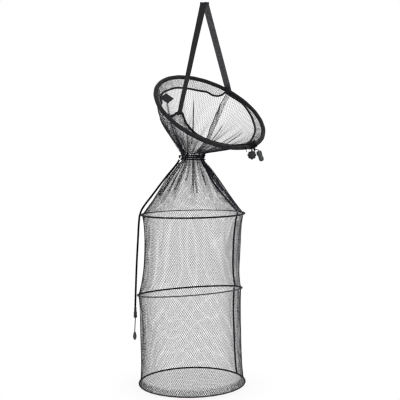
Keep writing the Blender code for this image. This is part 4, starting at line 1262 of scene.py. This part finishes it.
def collar_edge_line(count):
    """The edge as count points, by their angle along the collar."""
    points = collar_edge_points()
    labels = [item[0] for item in points]
    made = []
    for i in range(count):
        label = 360 * i / count
        k = max((j for j in range(len(points)) if labels[j] <= label), default=len(points) - 1)
        start = labels[k]
        end = labels[(k + 1) % len(points)] + (360 if k == len(points) - 1 else 0)
        p = [points[(k + j) % len(points)][1] for j in (-1, 0, 1, 2)]
        made.append(catmull_rom(p, (label - start) / (end - start)))
    return np.array(made)


COLLAR_LINE = collar_edge_line(720)


def collar_surface(u, v):
    v = np.asarray(v, float)
    turned = pinched(
        TAU * np.asarray(u), 0.0, ((67, 67, 11.0, 0.70, -0.5, 0.5), (88, 88, 5.0, 0.5, -0.5, 0.5))
    )
    at = ((np.asarray(u) * (1 - v) + v * turned / TAU) % 1.0) * len(COLLAR_LINE)
    i = np.floor(at).astype(int) % len(COLLAR_LINE)
    part = spread(at - np.floor(at))
    edge = COLLAR_LINE[i] * (1 - part) + COLLAR_LINE[(i + 1) % len(COLLAR_LINE)] * part
    seam = on_mouth(TAU * u, SLEEVE_RADIUS - SLEEVE_GRIP, COLLAR_SEWN_RISE)
    bow = np.sin(math.pi * v)
    crease = bow * ripple(TAU * u, v, ((0.0013, 21, 0.3, 0.4), (0.0008, 34, 0.0, 1.7)))
    sag = spread(0.0008 * bow) * [0, 0, 1.0]
    return seam * spread(1 - v) + edge * spread(v) - sag + spread(crease) * array(MOUTH_NORMAL)


def make_collar():
    rows = np.linspace(0, 1, 9)
    more = np.linspace(0.04, 1, 10)
    parts = [strands(collar_surface, rows, CELLS_MOUTH, 1)]
    # under the strap's end it is gathered, and lies folded over itself
    for lift, left, right, cells in ((0.0016, 50, 63, 14), (-0.0016, 68, 90, 20), (0.0024, 74, 96, 14)):
        layer = lambda u, v: collar_surface(u, v) + lift * np.sin(math.pi * spread(v)) * array(MOUTH_NORMAL)
        parts.append(
            folded(layer, lambda v: [np.full_like(v, math.radians(a)) for a in (left, right)], more, cells)
        )
    net = mesh_object("netting_collar", *joined(parts), NET)
    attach(net, "mouth")
    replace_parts(net, "collar_net")

    def pucker(share, around):
        wrinkle = 0.00022 * np.sin(TAU * 150 * share + 1.5 * np.sin(around))
        return wrinkle + 0.00018 * np.cos(2 * around + 9 * TAU * share)

    edge = tube(
        "collar_binding", COLLAR_LINE, COLLAR_EDGE_RADIUS + 0.0009, SEAM, sides=10, closed=True, swell=pucker
    )
    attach(edge, "mouth")
    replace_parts(edge, "collar_edge_cord")
    lift = COLLAR_EDGE_RADIUS + 0.0011
    size = dict(lift=lift, pitch=0.0034, length=0.0021, radius=0.00022)
    stitch_line("collar_stitches", COLLAR_LINE, array(MOUTH_NORMAL), body="mouth", closed=True, **size)


def stitch_line(name, line, outward, lift, pitch, length, radius, body=None, closed=False, slant=0.0):
    """A row of separate stitches on a line, each a short rounded bead lying on the surface."""
    line = np.asarray(line, float)
    outward = np.broadcast_to(np.asarray(outward, float), line.shape)
    if closed:
        line, outward = np.vstack([line, line[:1]]), np.vstack([outward, outward[:1]])
    reach = lengths_along(line)
    count = int(reach[-1] / pitch)
    all_points, all_faces, base = [], [], 0
    around = TAU * np.arange(5) / 5
    for i in range(count):
        at = (i + 0.5) * reach[-1] / count
        steps = np.linspace(at - length / 2, at + length / 2, 5)
        path = np.stack([np.interp(steps, reach, line[:, j]) for j in range(3)], 1)
        out = unit(np.array([np.interp(at, reach, outward[:, j]) for j in range(3)]))
        tangent = unit(path[-1] - path[0])
        side = unit(np.cross(out, tangent))
        out = np.cross(tangent, side)
        arch = np.array([-0.9, 0.35, 0.6, 0.35, -0.9]) * radius
        thick = np.array([0.45, 0.95, 1.0, 0.95, 0.45]) * radius
        shift = np.linspace(-0.5, 0.5, 5) * slant * length * (1 if i % 2 else -1)
        centre = path + out * (lift + arch)[:, None] + side * shift[:, None]
        ring = centre[:, None, :] + thick[:, None, None] * (
            np.cos(around)[None, :, None] * side + np.sin(around)[None, :, None] * out
        )
        index = base + np.arange(25).reshape(5, 5)
        all_faces.append(ring_faces(index))
        all_points.append(ring.reshape(-1, 3))
        base += 25
    made = mesh_object(name, np.concatenate(all_points), np.concatenate(all_faces), THREAD)
    if body:
        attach(made, body)
    return made


# ---------------------------------------------------------------- hoops


def make_mouth_hoop():
    turns = TAU * np.arange(540) / 540
    path = on_mouth(turns)

    def pads(share, around):
        puff = 0.00034 * np.abs(np.sin(TAU * 72 * share + 0.6 * np.sin(5 * TAU * share))) - 0.0003
        wrinkle = 0.00022 * np.sin(TAU * 131 * share + 2.0 * np.sin(around))
        wrinkle = wrinkle + 0.0002 * np.sin(TAU * 23 * share + around)
        return puff + wrinkle

    sleeve = tube("padded_sleeve", path, SLEEVE_RADIUS, SLEEVE, sides=18, closed=True, swell=pads)
    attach(sleeve, "mouth")
    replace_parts(sleeve, "mouth_hoop_sleeve")
    # the sleeve's sewn edge, along its inner lower side
    inward = -(np.cos(turns)[:, None] * array(MOUTH_LEFT) + np.sin(turns)[:, None] * array(MOUTH_NEAR))
    for name, low in (("sleeve_seam_inner", -0.35), ("sleeve_seam_upper", 0.55)):
        out = unit(inward + low * array(MOUTH_NORMAL))
        size = dict(lift=SLEEVE_RADIUS - 0.0001, pitch=0.0042, length=0.0027, radius=0.00032)
        stitch_line(name, path, out, body="mouth", closed=True, **size)
    rib = path + unit(inward + 0.1 * array(MOUTH_NORMAL)) * (SLEEVE_RADIUS - 0.0004)
    ribs = lambda share, around: 0.00018 * np.sin(TAU * 180 * share + around)
    welt = tube("sleeve_welt", rib, 0.0011, SEAM, sides=8, closed=True, swell=ribs)
    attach(welt, "mouth")


def make_hem(name, hoop, body, node, pale_angle, pale_strength):
    """The binding round a hoop's wire. Round the given angle it has been drawn thin, and its colour is painted
    paler there as painted light.
    """
    turns = TAU * np.arange(400) / 400
    path = on_hoop(hoop, turns)
    # painted light: how much of the pale grey each point round the hoop gets
    painted_pale_share = pale_strength * np.clip(1.15 * np.cos(turns - math.radians(pale_angle)), 0, 1) ** 0.5

    def gather(share, around):
        drawn_thin = 0.0010 * np.clip(1.15 * np.cos(TAU * share - math.radians(pale_angle)), 0, 1) ** 0.5 * pale_strength
        wrinkle = 0.00016 * np.sin(TAU * 158 * share + 1.3 * np.sin(around))
        return wrinkle + 0.00014 * np.sin(TAU * 31 * share + 2 * around) - 0.0001 - drawn_thin

    hem = tube(name, path, HEM_RADIUS, HEM, sides=12, closed=True, swell=gather)
    hem.data.attributes.new("painted_pale_share", "FLOAT", "POINT").data.foreach_set(
        "value", np.repeat(painted_pale_share, 12).astype(np.float32)
    )
    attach(hem, body)
    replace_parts(hem, node)
    inward = unit(array(hoop[0]) - path)
    size = dict(lift=HEM_RADIUS - 0.0001, pitch=0.0036, length=0.0026, radius=0.00024)
    stitch_line(name + "_stitches", path, inward, body=body, closed=True, slant=0.5, **size)


# ---------------------------------------------------------------- seams

# How far a seam's tape stands over its net
SEAM_LIFT = 0.0009


def seam_on(name, surface, angle, span, node):
    """A taped seam lying on a net, with two rows of stitches."""
    v = np.linspace(span[0], span[1], 90)
    u = np.full_like(v, angle / TAU)
    line = surface(u, v)
    small = 1e-3
    around = unit(surface(u + small, v) - surface(u - small, v))
    down = unit(np.gradient(line, axis=0))
    out = unit(np.cross(around, down))
    out = out * np.sign(np.sum(out * (line - middle_of(surface, v)), axis=1, keepdims=True))
    across = np.array([-1.0, -0.86, -0.4, 0.0, 0.4, 0.86, 1.0]) * SEAM_WIDTH / 2
    height = np.array([0.0, 0.00040, 0.00050, 0.00034, 0.00050, 0.00040, 0.0])
    wave = 0.00018 * np.sin(np.linspace(0, 60 * math.pi, 90))[:, None]
    line_at, around_at, out_at = line[:, None, :], around[:, None, :], out[:, None, :]
    front = line_at + around_at * across[None, :, None] + out_at * (SEAM_LIFT + height + wave)[..., None]
    under = (SEAM_LIFT - height[::-1] + wave)[..., None]
    back = line_at + around_at * across[None, ::-1, None] + out_at * under
    ring = np.concatenate([front, back[:, 1:-1]], 1)
    count, width = ring.shape[:2]
    index = np.arange(count * width).reshape(count, width)
    faces = ring_faces(index)
    length = lengths_along(line)
    made = mesh_object(
        name,
        ring.reshape(-1, 3),
        faces,
        SEAM,
        along=np.repeat(length, width),
        across=np.tile(np.concatenate([across, across[::-1][1:-1]]), count),
    )
    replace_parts(made, node)

    def rolled(share, turn):
        roll = 0.00030 * np.sin(TAU * 70 * share + 2 * np.sin(turn))
        return roll + 0.00022 * np.sin(TAU * 31 * share + 3 * turn)

    welt = tube(name + "_welt", line - out * 0.0014, 0.0021, SEAM, sides=10, swell=rolled)
    rows = [made, welt]
    for side in (-1, 1):
        row = line + around * side * 0.0015 + out * SEAM_LIFT
        stitches = f"{name}_stitches_{'a' if side < 0 else 'b'}"
        size = dict(lift=0.00045, pitch=0.0034, length=0.0022, radius=0.00022)
        rows.append(stitch_line(stitches, row, out, **size))
    return rows


def cone_seam_surface(u, v):
    """The seam lies a little further round the back near the neck."""
    return cone_at(u + CONE_SEAM_DRIFT / TAU * np.clip(1 - v, 0, 1) ** 0.8, v)


def make_upper_seam():
    """The netting is folded into a band along its seam, with a row of thread down one edge."""
    start, end = 0.02, 0.92
    rows = even_rows(upper_at, CELLS_MOUTH)
    rows = rows[(rows >= start) & (rows <= end)]
    places = ((0.0, 0.2, 0.38, 0.57, 0.72, 1.0), (260.5, 262.0, 260.5, 257.0, 250.0, 247.0))

    width = 1.25 * UPPER_SEAM_WIDTH

    def edges(v, half=width / 2):
        middle = np.radians(np.interp(v, *places))
        reach = MOUTH_RADIUS * (1 - v) + NECK_RADIUS * v
        return middle - half / reach, middle + half / reach

    def narrower(v):
        low, high = edges(v)
        share = np.clip((v - 0.16) / 0.30, 0.04, 1)
        return high - (high - low) * share, high

    parts = [
        folded(moved_in(upper_at, 0.0014), edges, rows, 10),
        folded(moved_in(upper_at, 0.0026), narrower, rows[rows > 0.16], 11),
        folded(moved_in(upper_at, 0.0038), edges, rows[rows > 0.58], 10),
    ]
    made = mesh_object("seam_upper", *joined(parts), NET)
    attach(made, "mouth")
    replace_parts(made, "upper_net_seam")
    v = np.linspace(start, end, 240)
    for name, part, radius in (("a", 1.0, 0.0011), ("b", 0.80, 0.0007), ("c", -0.96, 0.0004)):
        u = edges(v, part * width / 2)[1] / TAU
        line = moved_in(upper_at, 0.0030)(u, v)
        out = toward(middle_of(upper_at, v), line)
        stitch_line(
            f"seam_upper_stitches_{name}",
            line,
            out,
            lift=0.0,
            pitch=0.0042,
            length=0.0034,
            radius=radius,
            body="mouth",
        )


def make_seams():
    make_upper_seam()
    for net, node, surface, angle, span in (
        ("cone", "cone_seam", cone_seam_surface, SIDE_SEAM_ANGLE, (0.08, 0.985)),
        ("wall_1", "wall_seam_1", WALL_1, SIDE_SEAM_ANGLE, (0.012, 0.988)),
        ("wall_2", "wall_seam_2", WALL_2, SIDE_SEAM_ANGLE + WALL_2_SEAM_DRIFT, (0.012, 0.988)),
    ):
        for piece in seam_on("seam_" + net, surface, angle, span, node):
            follow(piece, net)


# ---------------------------------------------------------------- strap


# The fold's two halves lie askew, and the ends run on past their solids', the back one down behind the hoop
FOLD_SKEW = 0.0040
STRAP_PAST = {-1: 0.0012, 1: 0.0240}
BEHIND_SLEEVE = 0.0095
BEHIND_SLEEVE_OVER = 0.012

# The stitches that hold an end: from, to and aside
END_STITCHES = (0.003, 0.022, 0.0068)


def strap_path(end, side, twist):
    """Middle line and across direction of one half of the strap, from its end over half of the fold."""
    fold = Vector((0, side * (FOLD_FLAT + FOLD_DROP) / 2, STRAP_THICKNESS / 2 - FOLD_DROP))
    down = (end - fold).normalized()
    across = strap_across(down, 0)
    rows = []
    fold = fold + Vector((side * FOLD_SKEW, 0, 0))
    tip = end + down * STRAP_PAST[side]
    for share in np.linspace(0, 1, 150):
        middle = tip.lerp(fold, share)
        if side > 0:
            # past the hoop, the strap lies against the far side of its sleeve
            below = min(1.0, max(0.0, (middle - end).dot(down) / BEHIND_SLEEVE_OVER))
            middle = middle + Vector((0, BEHIND_SLEEVE * math.sin(below * math.pi / 2), 0))
        rows.append((middle, strap_across(down, twist * (1 - share**2))))
    skew = side * FOLD_SKEW
    bend = [
        fold,
        Vector((skew, side * (FOLD_FLAT / 2 + FOLD_DROP / 6), STRAP_THICKNESS / 2 - FOLD_DROP / 4)),
        Vector((skew, side * FOLD_FLAT / 2, STRAP_THICKNESS / 2)),
        Vector((0, 0, STRAP_THICKNESS / 2)),
    ]
    for share in np.linspace(0, 1, 13)[1:]:
        at = share * 3
        k = min(int(at), 2)
        p = [bend[min(max(k + j, 0), 3)] for j in (-1, 0, 1, 2)]
        turn = min(1.0, share * 1.5)
        rows.append((catmull_rom(p, at - k), (across * (1 - turn) + Vector((1, 0, 0)) * turn).normalized()))
    return rows, down


def webbing_strip(name, rows, look, taper=0.0):
    """Webbing along (middle, across) rows: full selvedges, a slightly cupped middle, a heat-cut end."""
    middle = np.array([array(row[0]) for row in rows])
    across = np.array([array(row[1]) for row in rows])
    tangent = unit(np.gradient(middle, axis=0))
    across = unit(across - tangent * np.sum(across * tangent, axis=1, keepdims=True))
    out = np.cross(across, tangent)
    length = lengths_along(middle)
    half = STRAP_WIDTH / 2
    thick = STRAP_THICKNESS / 2
    offsets = [
        (-1.0, 0.0),
        (-0.985, 0.75),
        (-0.94, 1.04),
        (-0.88, 0.96),
        (-0.6, 0.9),
        (-0.3, 0.92),
        (0.0, 0.93),
        (0.3, 0.92),
        (0.6, 0.9),
        (0.88, 0.96),
        (0.94, 1.04),
        (0.985, 0.75),
    ]
    outline = offsets + [(1.0, 0.0)] + [(-x, -y) for x, y in offsets[1:]]
    x = np.array([p[0] for p in outline]) * half
    y = np.array([p[1] for p in outline]) * thick
    buckle = 0.0003 * np.sin(length * 71 + 1)[:, None] * np.sin(x * 260)[None, :]
    sway = 0.0004 * np.sin(length * 34)[:, None] + buckle
    width = np.ones(len(rows))
    if taper:
        near = np.clip(length / taper, 0, 1)
        width = 0.86 + 0.14 * np.sqrt(1 - (1 - near) ** 2)
    aside = x[None, :] * width[:, None]
    lift = y[None, :] + sway * np.clip(length / 0.02, 0, 1)[:, None]
    points = middle[:, None, :] + across[:, None, :] * aside[..., None] + out[:, None, :] * lift[..., None]
    count, around = points.shape[:2]
    index = np.arange(count * around).reshape(count, around)
    faces = ring_faces(index)
    made = mesh_object(
        name, points.reshape(-1, 3), faces, look, along=np.repeat(length, around), across=np.tile(x, count)
    )
    close_ends(made, index[0][::-1])
    return made, middle, across, out


def make_strap():
    for end, side, twist, name in (
        (STRAP_FRONT, -1, STRAP_FRONT_TWIST, "front"), (STRAP_BACK, 1, 0.0, "back")
    ):
        rows, down = strap_path(end, side, twist)
        made, middle, across, out = webbing_strip("strap_" + name, rows, WEBBING[name], taper=0.006)
        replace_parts(made, "strap_webbing")
        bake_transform(made)
        # the stitches that hold its end: two rows along it and a cross between them, on both faces
        spacing = np.linalg.norm(np.diff(middle, axis=0), axis=1).mean()
        first, last, aside = END_STITCHES
        i, j = int(first / spacing), int(last / spacing)
        for face in (-1, 1):
            for k, (a, b) in enumerate(((-aside, -aside), (aside, aside), (-aside, aside), (aside, -aside))):
                shares = np.linspace(0, 1, j - i + 1)
                line = middle[i : j + 1] + across[i : j + 1] * (a + (b - a) * shares)[:, None]
                stitches = f"strap_{name}_stitch_{'f' if face > 0 else 'b'}{k}"
                size = dict(lift=STRAP_THICKNESS / 2 + 0.0002, pitch=0.0026, length=0.0019, radius=0.00024)
                row = stitch_line(stitches, line, out[i : j + 1] * face, **size)
                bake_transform(row)


# ---------------------------------------------------------------- label

LABEL_THICKNESS = 0.0008


def make_label():
    along = TAG_ALONG.normalized()
    down = (TAG_DOWN - TAG_DOWN.dot(along) * along).normalized()
    out = along.cross(down)
    corner = point_on_mouth(TAG_ANGLE, TAG_INWARD, TAG_RISE)
    nu, nv = 31, 25
    s, t = np.meshgrid(np.linspace(0, 1, nu), np.linspace(0, 1, nv), indexing="ij")
    curl = 0.0009 * np.sin(math.pi * s * 1.1) * t + 0.0006 * np.sin(3 * s + 2 * t) * t**2
    sheet = array(corner) + spread(s * TAG_LENGTH) * array(along) + spread(t * TAG_HEIGHT) * array(down)
    sheet = sheet + spread(curl) * array(out)
    index = np.arange(nu * nv).reshape(nu, nv)
    faces = np.stack([index[:-1, :-1], index[:-1, 1:], index[1:, 1:], index[1:, :-1]], -1).reshape(-1, 4)
    made = mesh_object(
        "label", sheet.reshape(-1, 3), faces, LABEL, along=s * TAG_LENGTH, across=t * TAG_HEIGHT
    )
    thick = made.modifiers.new("thickness", "SOLIDIFY")
    thick.thickness = LABEL_THICKNESS
    thick.offset = 0.0
    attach(made, "mouth")
    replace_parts(made, "label_tag")
    inset = 3
    for face in (-1, 1):
        border = np.concatenate(
            [
                sheet[inset:-inset, inset],
                sheet[-inset - 1, inset:-inset],
                sheet[inset:-inset, -inset - 1][::-1],
                sheet[inset, inset:-inset][::-1],
            ]
        )
        stitches = f"label_stitches_{'f' if face > 0 else 'b'}"
        size = dict(lift=0.0005, pitch=0.0024, length=0.0017, radius=0.00018)
        stitch_line(stitches, border, array(out) * face, body="mouth", **size)


# ---------------------------------------------------------------- neck and lock


def make_neck():
    coil_radius = NECK_RADIUS + LOOSE + CORD_RADIUS
    steps = 240
    share = np.arange(steps) / steps
    angle = TAU * 2 * share + math.radians(4)
    step = np.clip((share - 0.18) / 0.44, 0, 1)
    height = NECK_COIL_HEIGHT * (0.5 - step**2 * (3 - 2 * step))
    coil = array(NECK_CENTRE) + np.stack(
        [-coil_radius * np.cos(angle), -coil_radius * np.sin(angle), height], -1
    )
    coil += np.stack([0.0006 * np.sin(5 * angle), 0.0006 * np.cos(7 * angle), 0.0004 * np.sin(9 * angle)], -1)
    made = tube("neck_cord", coil, CORD_RADIUS, CORD, sides=10)
    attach(made, "mouth")
    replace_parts(made, "neck_drawcord")
    centre = array(NECK_CENTRE) - [coil_radius + 0.0034, 0, -0.0030]
    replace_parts(knot("cord_knot", centre, 1.2, 0.0021), "neck_knot")


def knot(name, centre, size, radius):
    """An overhand knot: a small trefoil of cord."""
    t = np.linspace(0, TAU, 91)[:-1]
    line = size * np.stack(
        [
            0.0011 * np.cos(3 * t),
            0.00094 * (np.sin(t) + 2 * np.sin(2 * t)),
            0.00108 * (np.cos(t) - 2 * np.cos(2 * t)),
        ],
        -1,
    )
    made = tube(name, array(centre) + line, radius, CORD, sides=9, closed=True)
    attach(made, "mouth")
    return made


def lobed(name, radius, lobe, lobes, length, look, segments, edge, bore, bore_depth):
    """A lobed barrel with rounded ends and a blind bore in its front, its axis towards the viewer."""
    around = TAU * np.arange(segments) / segments
    outline = lobe * np.abs(np.cos(lobes * around / 2)) ** 0.6
    half = length / 2
    rounded = []
    for i in range(6):
        a = math.pi / 2 * i / 5
        rounded.append((edge * math.sin(a), edge * (1 - math.cos(a)), min(1.0, 0.3 + 0.7 * i / 5)))
    profile = [(radius - edge + r, -half + y, share) for r, y, share in rounded]
    profile += [(radius, y, 1.0) for y in np.linspace(-half + edge, half - edge, 7)[1:-1]]
    profile += [(radius - edge + r, half - y, share) for r, y, share in reversed(rounded)]
    points = []
    for r, y, share in profile:
        reach = r + outline * share
        points.append(np.stack([reach * np.cos(around), np.full(segments, y), reach * np.sin(around)], -1))
    circle = bore * np.stack([np.cos(around), np.zeros(segments), np.sin(around)], -1)
    points = np.array(
        [circle + [0, bore_depth - half, 0], circle - [0, half, 0]] + points + [circle + [0, half, 0]]
    )
    count = len(points)
    index = np.arange(count * segments).reshape(count, segments)
    faces = ring_faces(index)
    made = mesh_object(name, points.reshape(-1, 3), faces, look)
    close_ends(made, index[0][::-1], index[-1], turn_out=True)
    made.data.set_sharp_from_angle(angle=math.radians(40))
    return made


# The barrel's lobes are deeper than its solid's
LOBES_DEEPER = 0.0016


def make_lock():
    body = lobed(
        "lock_barrel",
        radius=LOCK_RADIUS - 0.0002,
        lobe=LOCK_LOBE + LOBES_DEEPER,
        lobes=LOCK_LOBES,
        length=LOCK_LENGTH,
        look=PLASTIC,
        segments=96,
        edge=0.0016,
        bore=0.0062,
        bore_depth=0.0052,
    )
    body.location = LOCK_CENTRE
    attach(body, "mouth")
    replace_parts(body, "lock_body")
    cap_front = LOCK_CENTRE.y - LOCK_LENGTH / 2 - PLUNGER_TRAVEL - GAP - PLUNGER_CAP_LENGTH
    profile = (
        (0.10, 0.0),
        (0.55, 0.004),
        (0.80, 0.03),
        (0.94, 0.10),
        (1.0, 0.22),
        (1.0, 0.35),
        (0.97, 0.40),
        (0.70, 0.42),
        (0.66, 0.44),
        (0.66, 1.0),
    )
    cap = lathe(
        "lock_button_cap", profile, PLUNGER_CAP_RADIUS, PLUNGER_CAP_LENGTH + PLUNGER_TRAVEL + 0.0015, PLASTIC
    )
    cap.matrix_world = Matrix.Translation((LOCK_CENTRE.x, cap_front, LOCK_CENTRE.z)) @ Matrix.Rotation(
        math.radians(90), 4, "X"
    )
    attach(cap, "lock_button")
    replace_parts(cap, "lock_plunger")


def make_hitch():
    """Where the collar's cord comes out: it is hitched round the sleeve, the netting bunched up beside it."""
    share = np.linspace(0, 1, 200)
    angle = np.radians(146.5 + 11 * share)
    turn = TAU * 5 * share + 0.5
    reach = SLEEVE_RADIUS + COLLAR_CORD_RADIUS + 0.0003
    coil = tube(
        "collar_hitch",
        on_mouth(angle, -reach * np.cos(turn), reach * np.sin(turn)),
        COLLAR_CORD_RADIUS,
        CORD,
        sides=9,
    )
    angle = np.radians(144 + 18 * share)
    line = on_mouth(angle, 0.0098 + 0.0012 * np.sin(9 * share), 0.0012 + 0.0010 * np.sin(14 * share + 1))
    thick = 0.0042 * np.sin(math.pi * (0.06 + 0.88 * share)) ** 0.5
    bunch = tube(
        "collar_bunch",
        line,
        thick,
        SEAM,
        sides=18,
        swell=lambda s,
        a: 0.0007 * np.sin(7 * a + 9 * s) + 0.0005 * np.sin(TAU * 9 * s + 2 * a),
    )
    # the edge cord's end, tied off further along
    angle = np.radians(np.linspace(126, 144, 60))
    loose = on_mouth(
        angle,
        0.0100 + 0.0030 * np.sin(np.linspace(0, math.pi, 60)),
        0.0030 * np.sin(np.linspace(0.2, 3.0, 60)),
    )
    run = tube("collar_tie", loose, COLLAR_CORD_RADIUS, CORD, sides=9)
    below = point_on_mouth(math.radians(140.5), -0.0066, 0.0030)
    end = [below, below + Vector((0.0010, -0.0030, -0.0050)), below + Vector((0.0034, -0.0028, -0.0118))]
    tail = tube("collar_tie_end", smooth_route(end, 12), 0.0009, CORD, sides=8)
    for made in (coil, bunch, run, tail):
        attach(made, "mouth")
    knot("collar_tie_knot", below, 1.0, COLLAR_CORD_RADIUS)
    knot("lock_knot", LOCK_SEAT + Vector((0.0070, -0.0090, -0.0115)), 1.9, COLLAR_CORD_RADIUS + 0.0004)


# ---------------------------------------------------------------- stage and light


# The floor is a little darker under the net, round this point of it
FLOOR_SHADE_CENTRE = (-0.04, -0.05, 0)


def make_stage():
    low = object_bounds()[0].z
    bpy.ops.mesh.primitive_circle_add(vertices=96, radius=14, fill_type="NGON", location=(0, 0, low - 0.0025))
    floor = bpy.context.object
    floor.name = "floor"
    material = bpy.data.materials.new("floor")
    floor_look = Graph(material)
    floor_look.nodes.remove(floor_look.nodes["Principled BSDF"])
    away = floor_look.nodes.new("ShaderNodeVectorMath")
    away.operation = "DISTANCE"
    floor_look.set(away, 0, floor_look.place())
    floor_look.set(away, 1, FLOOR_SHADE_CENTRE)
    white = floor_look.node(
        "MapRange", Value=away.outputs["Value"], From_Min=0.08, From_Max=0.28, To_Min=0.80, To_Max=1.0
    )
    diffuse = floor_look.node("BsdfDiffuse", Color=(0.82, 0.82, 0.83, 1))
    glow = floor_look.node("Emission", Color=(1, 1, 1, 1))
    surface = floor_look.mix(floor_look.math("MULTIPLY", floor_look.seen(), white), diffuse, glow)
    floor_look.links.new(surface, floor_look.nodes["Material Output"].inputs["Surface"])
    floor.data.materials.append(material)

    world = bpy.context.scene.world or bpy.data.worlds.new("world")
    bpy.context.scene.world = world
    sky = Graph(world)
    sky.nodes.clear()
    soft = sky.node("Background", Color=(1, 1, 1, 1), Strength=0.55)
    bright = sky.node("Background", Color=(1, 1, 1, 1), Strength=1.0)
    out = sky.nodes.new("ShaderNodeOutputWorld")
    sky.links.new(sky.mix(sky.seen(), soft, bright), out.inputs["Surface"])

    for name, place, size, power in (
        ("key", (1.9, -2.1, 1.3), 1.6, 50.0),
        ("fill", (-2.2, -1.8, 0.2), 2.0, 20.0),
        ("back", (0.3, 2.2, 0.9), 1.6, 20.0),
    ):
        data = bpy.data.lights.new(name, "AREA")
        data.size = size
        data.energy = power
        lamp = bpy.data.objects.new(name, data)
        bpy.context.scene.collection.objects.link(lamp)
        lamp.location = place
        lamp.rotation_euler = (Vector((0, 0, -0.6)) - Vector(place)).to_track_quat("-Z", "Y").to_euler()
    bpy.context.scene.view_settings.view_transform = "Standard"


def dress_cad():
    """The hidden steel, which is shown as it is in the solids."""
    for name in ("mouth_hoop_rod", "ring_1_wire", "ring_2_wire", "base_ring_wire", "lock_spring"):
        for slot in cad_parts[name].material_slots:
            slot.material = STEEL


make_nets()
make_base_netting()
make_collar()
make_mouth_hoop()
make_hem("hem_1", RING_1, "ring_1", "ring_1_hem", 270, 1.0)
make_hem("hem_2", RING_2, "ring_2", "ring_2_hem", 90, 0.75)
make_hem("hem_base", BASE, "base", "base_ring_hem", 90, 0.45)
make_seams()
make_strap()
make_label()
make_neck()
make_lock()
make_hitch()
dress_cad()
make_stage()

bpy.context.scene.cycles.filter_width = PIXEL_FILTER
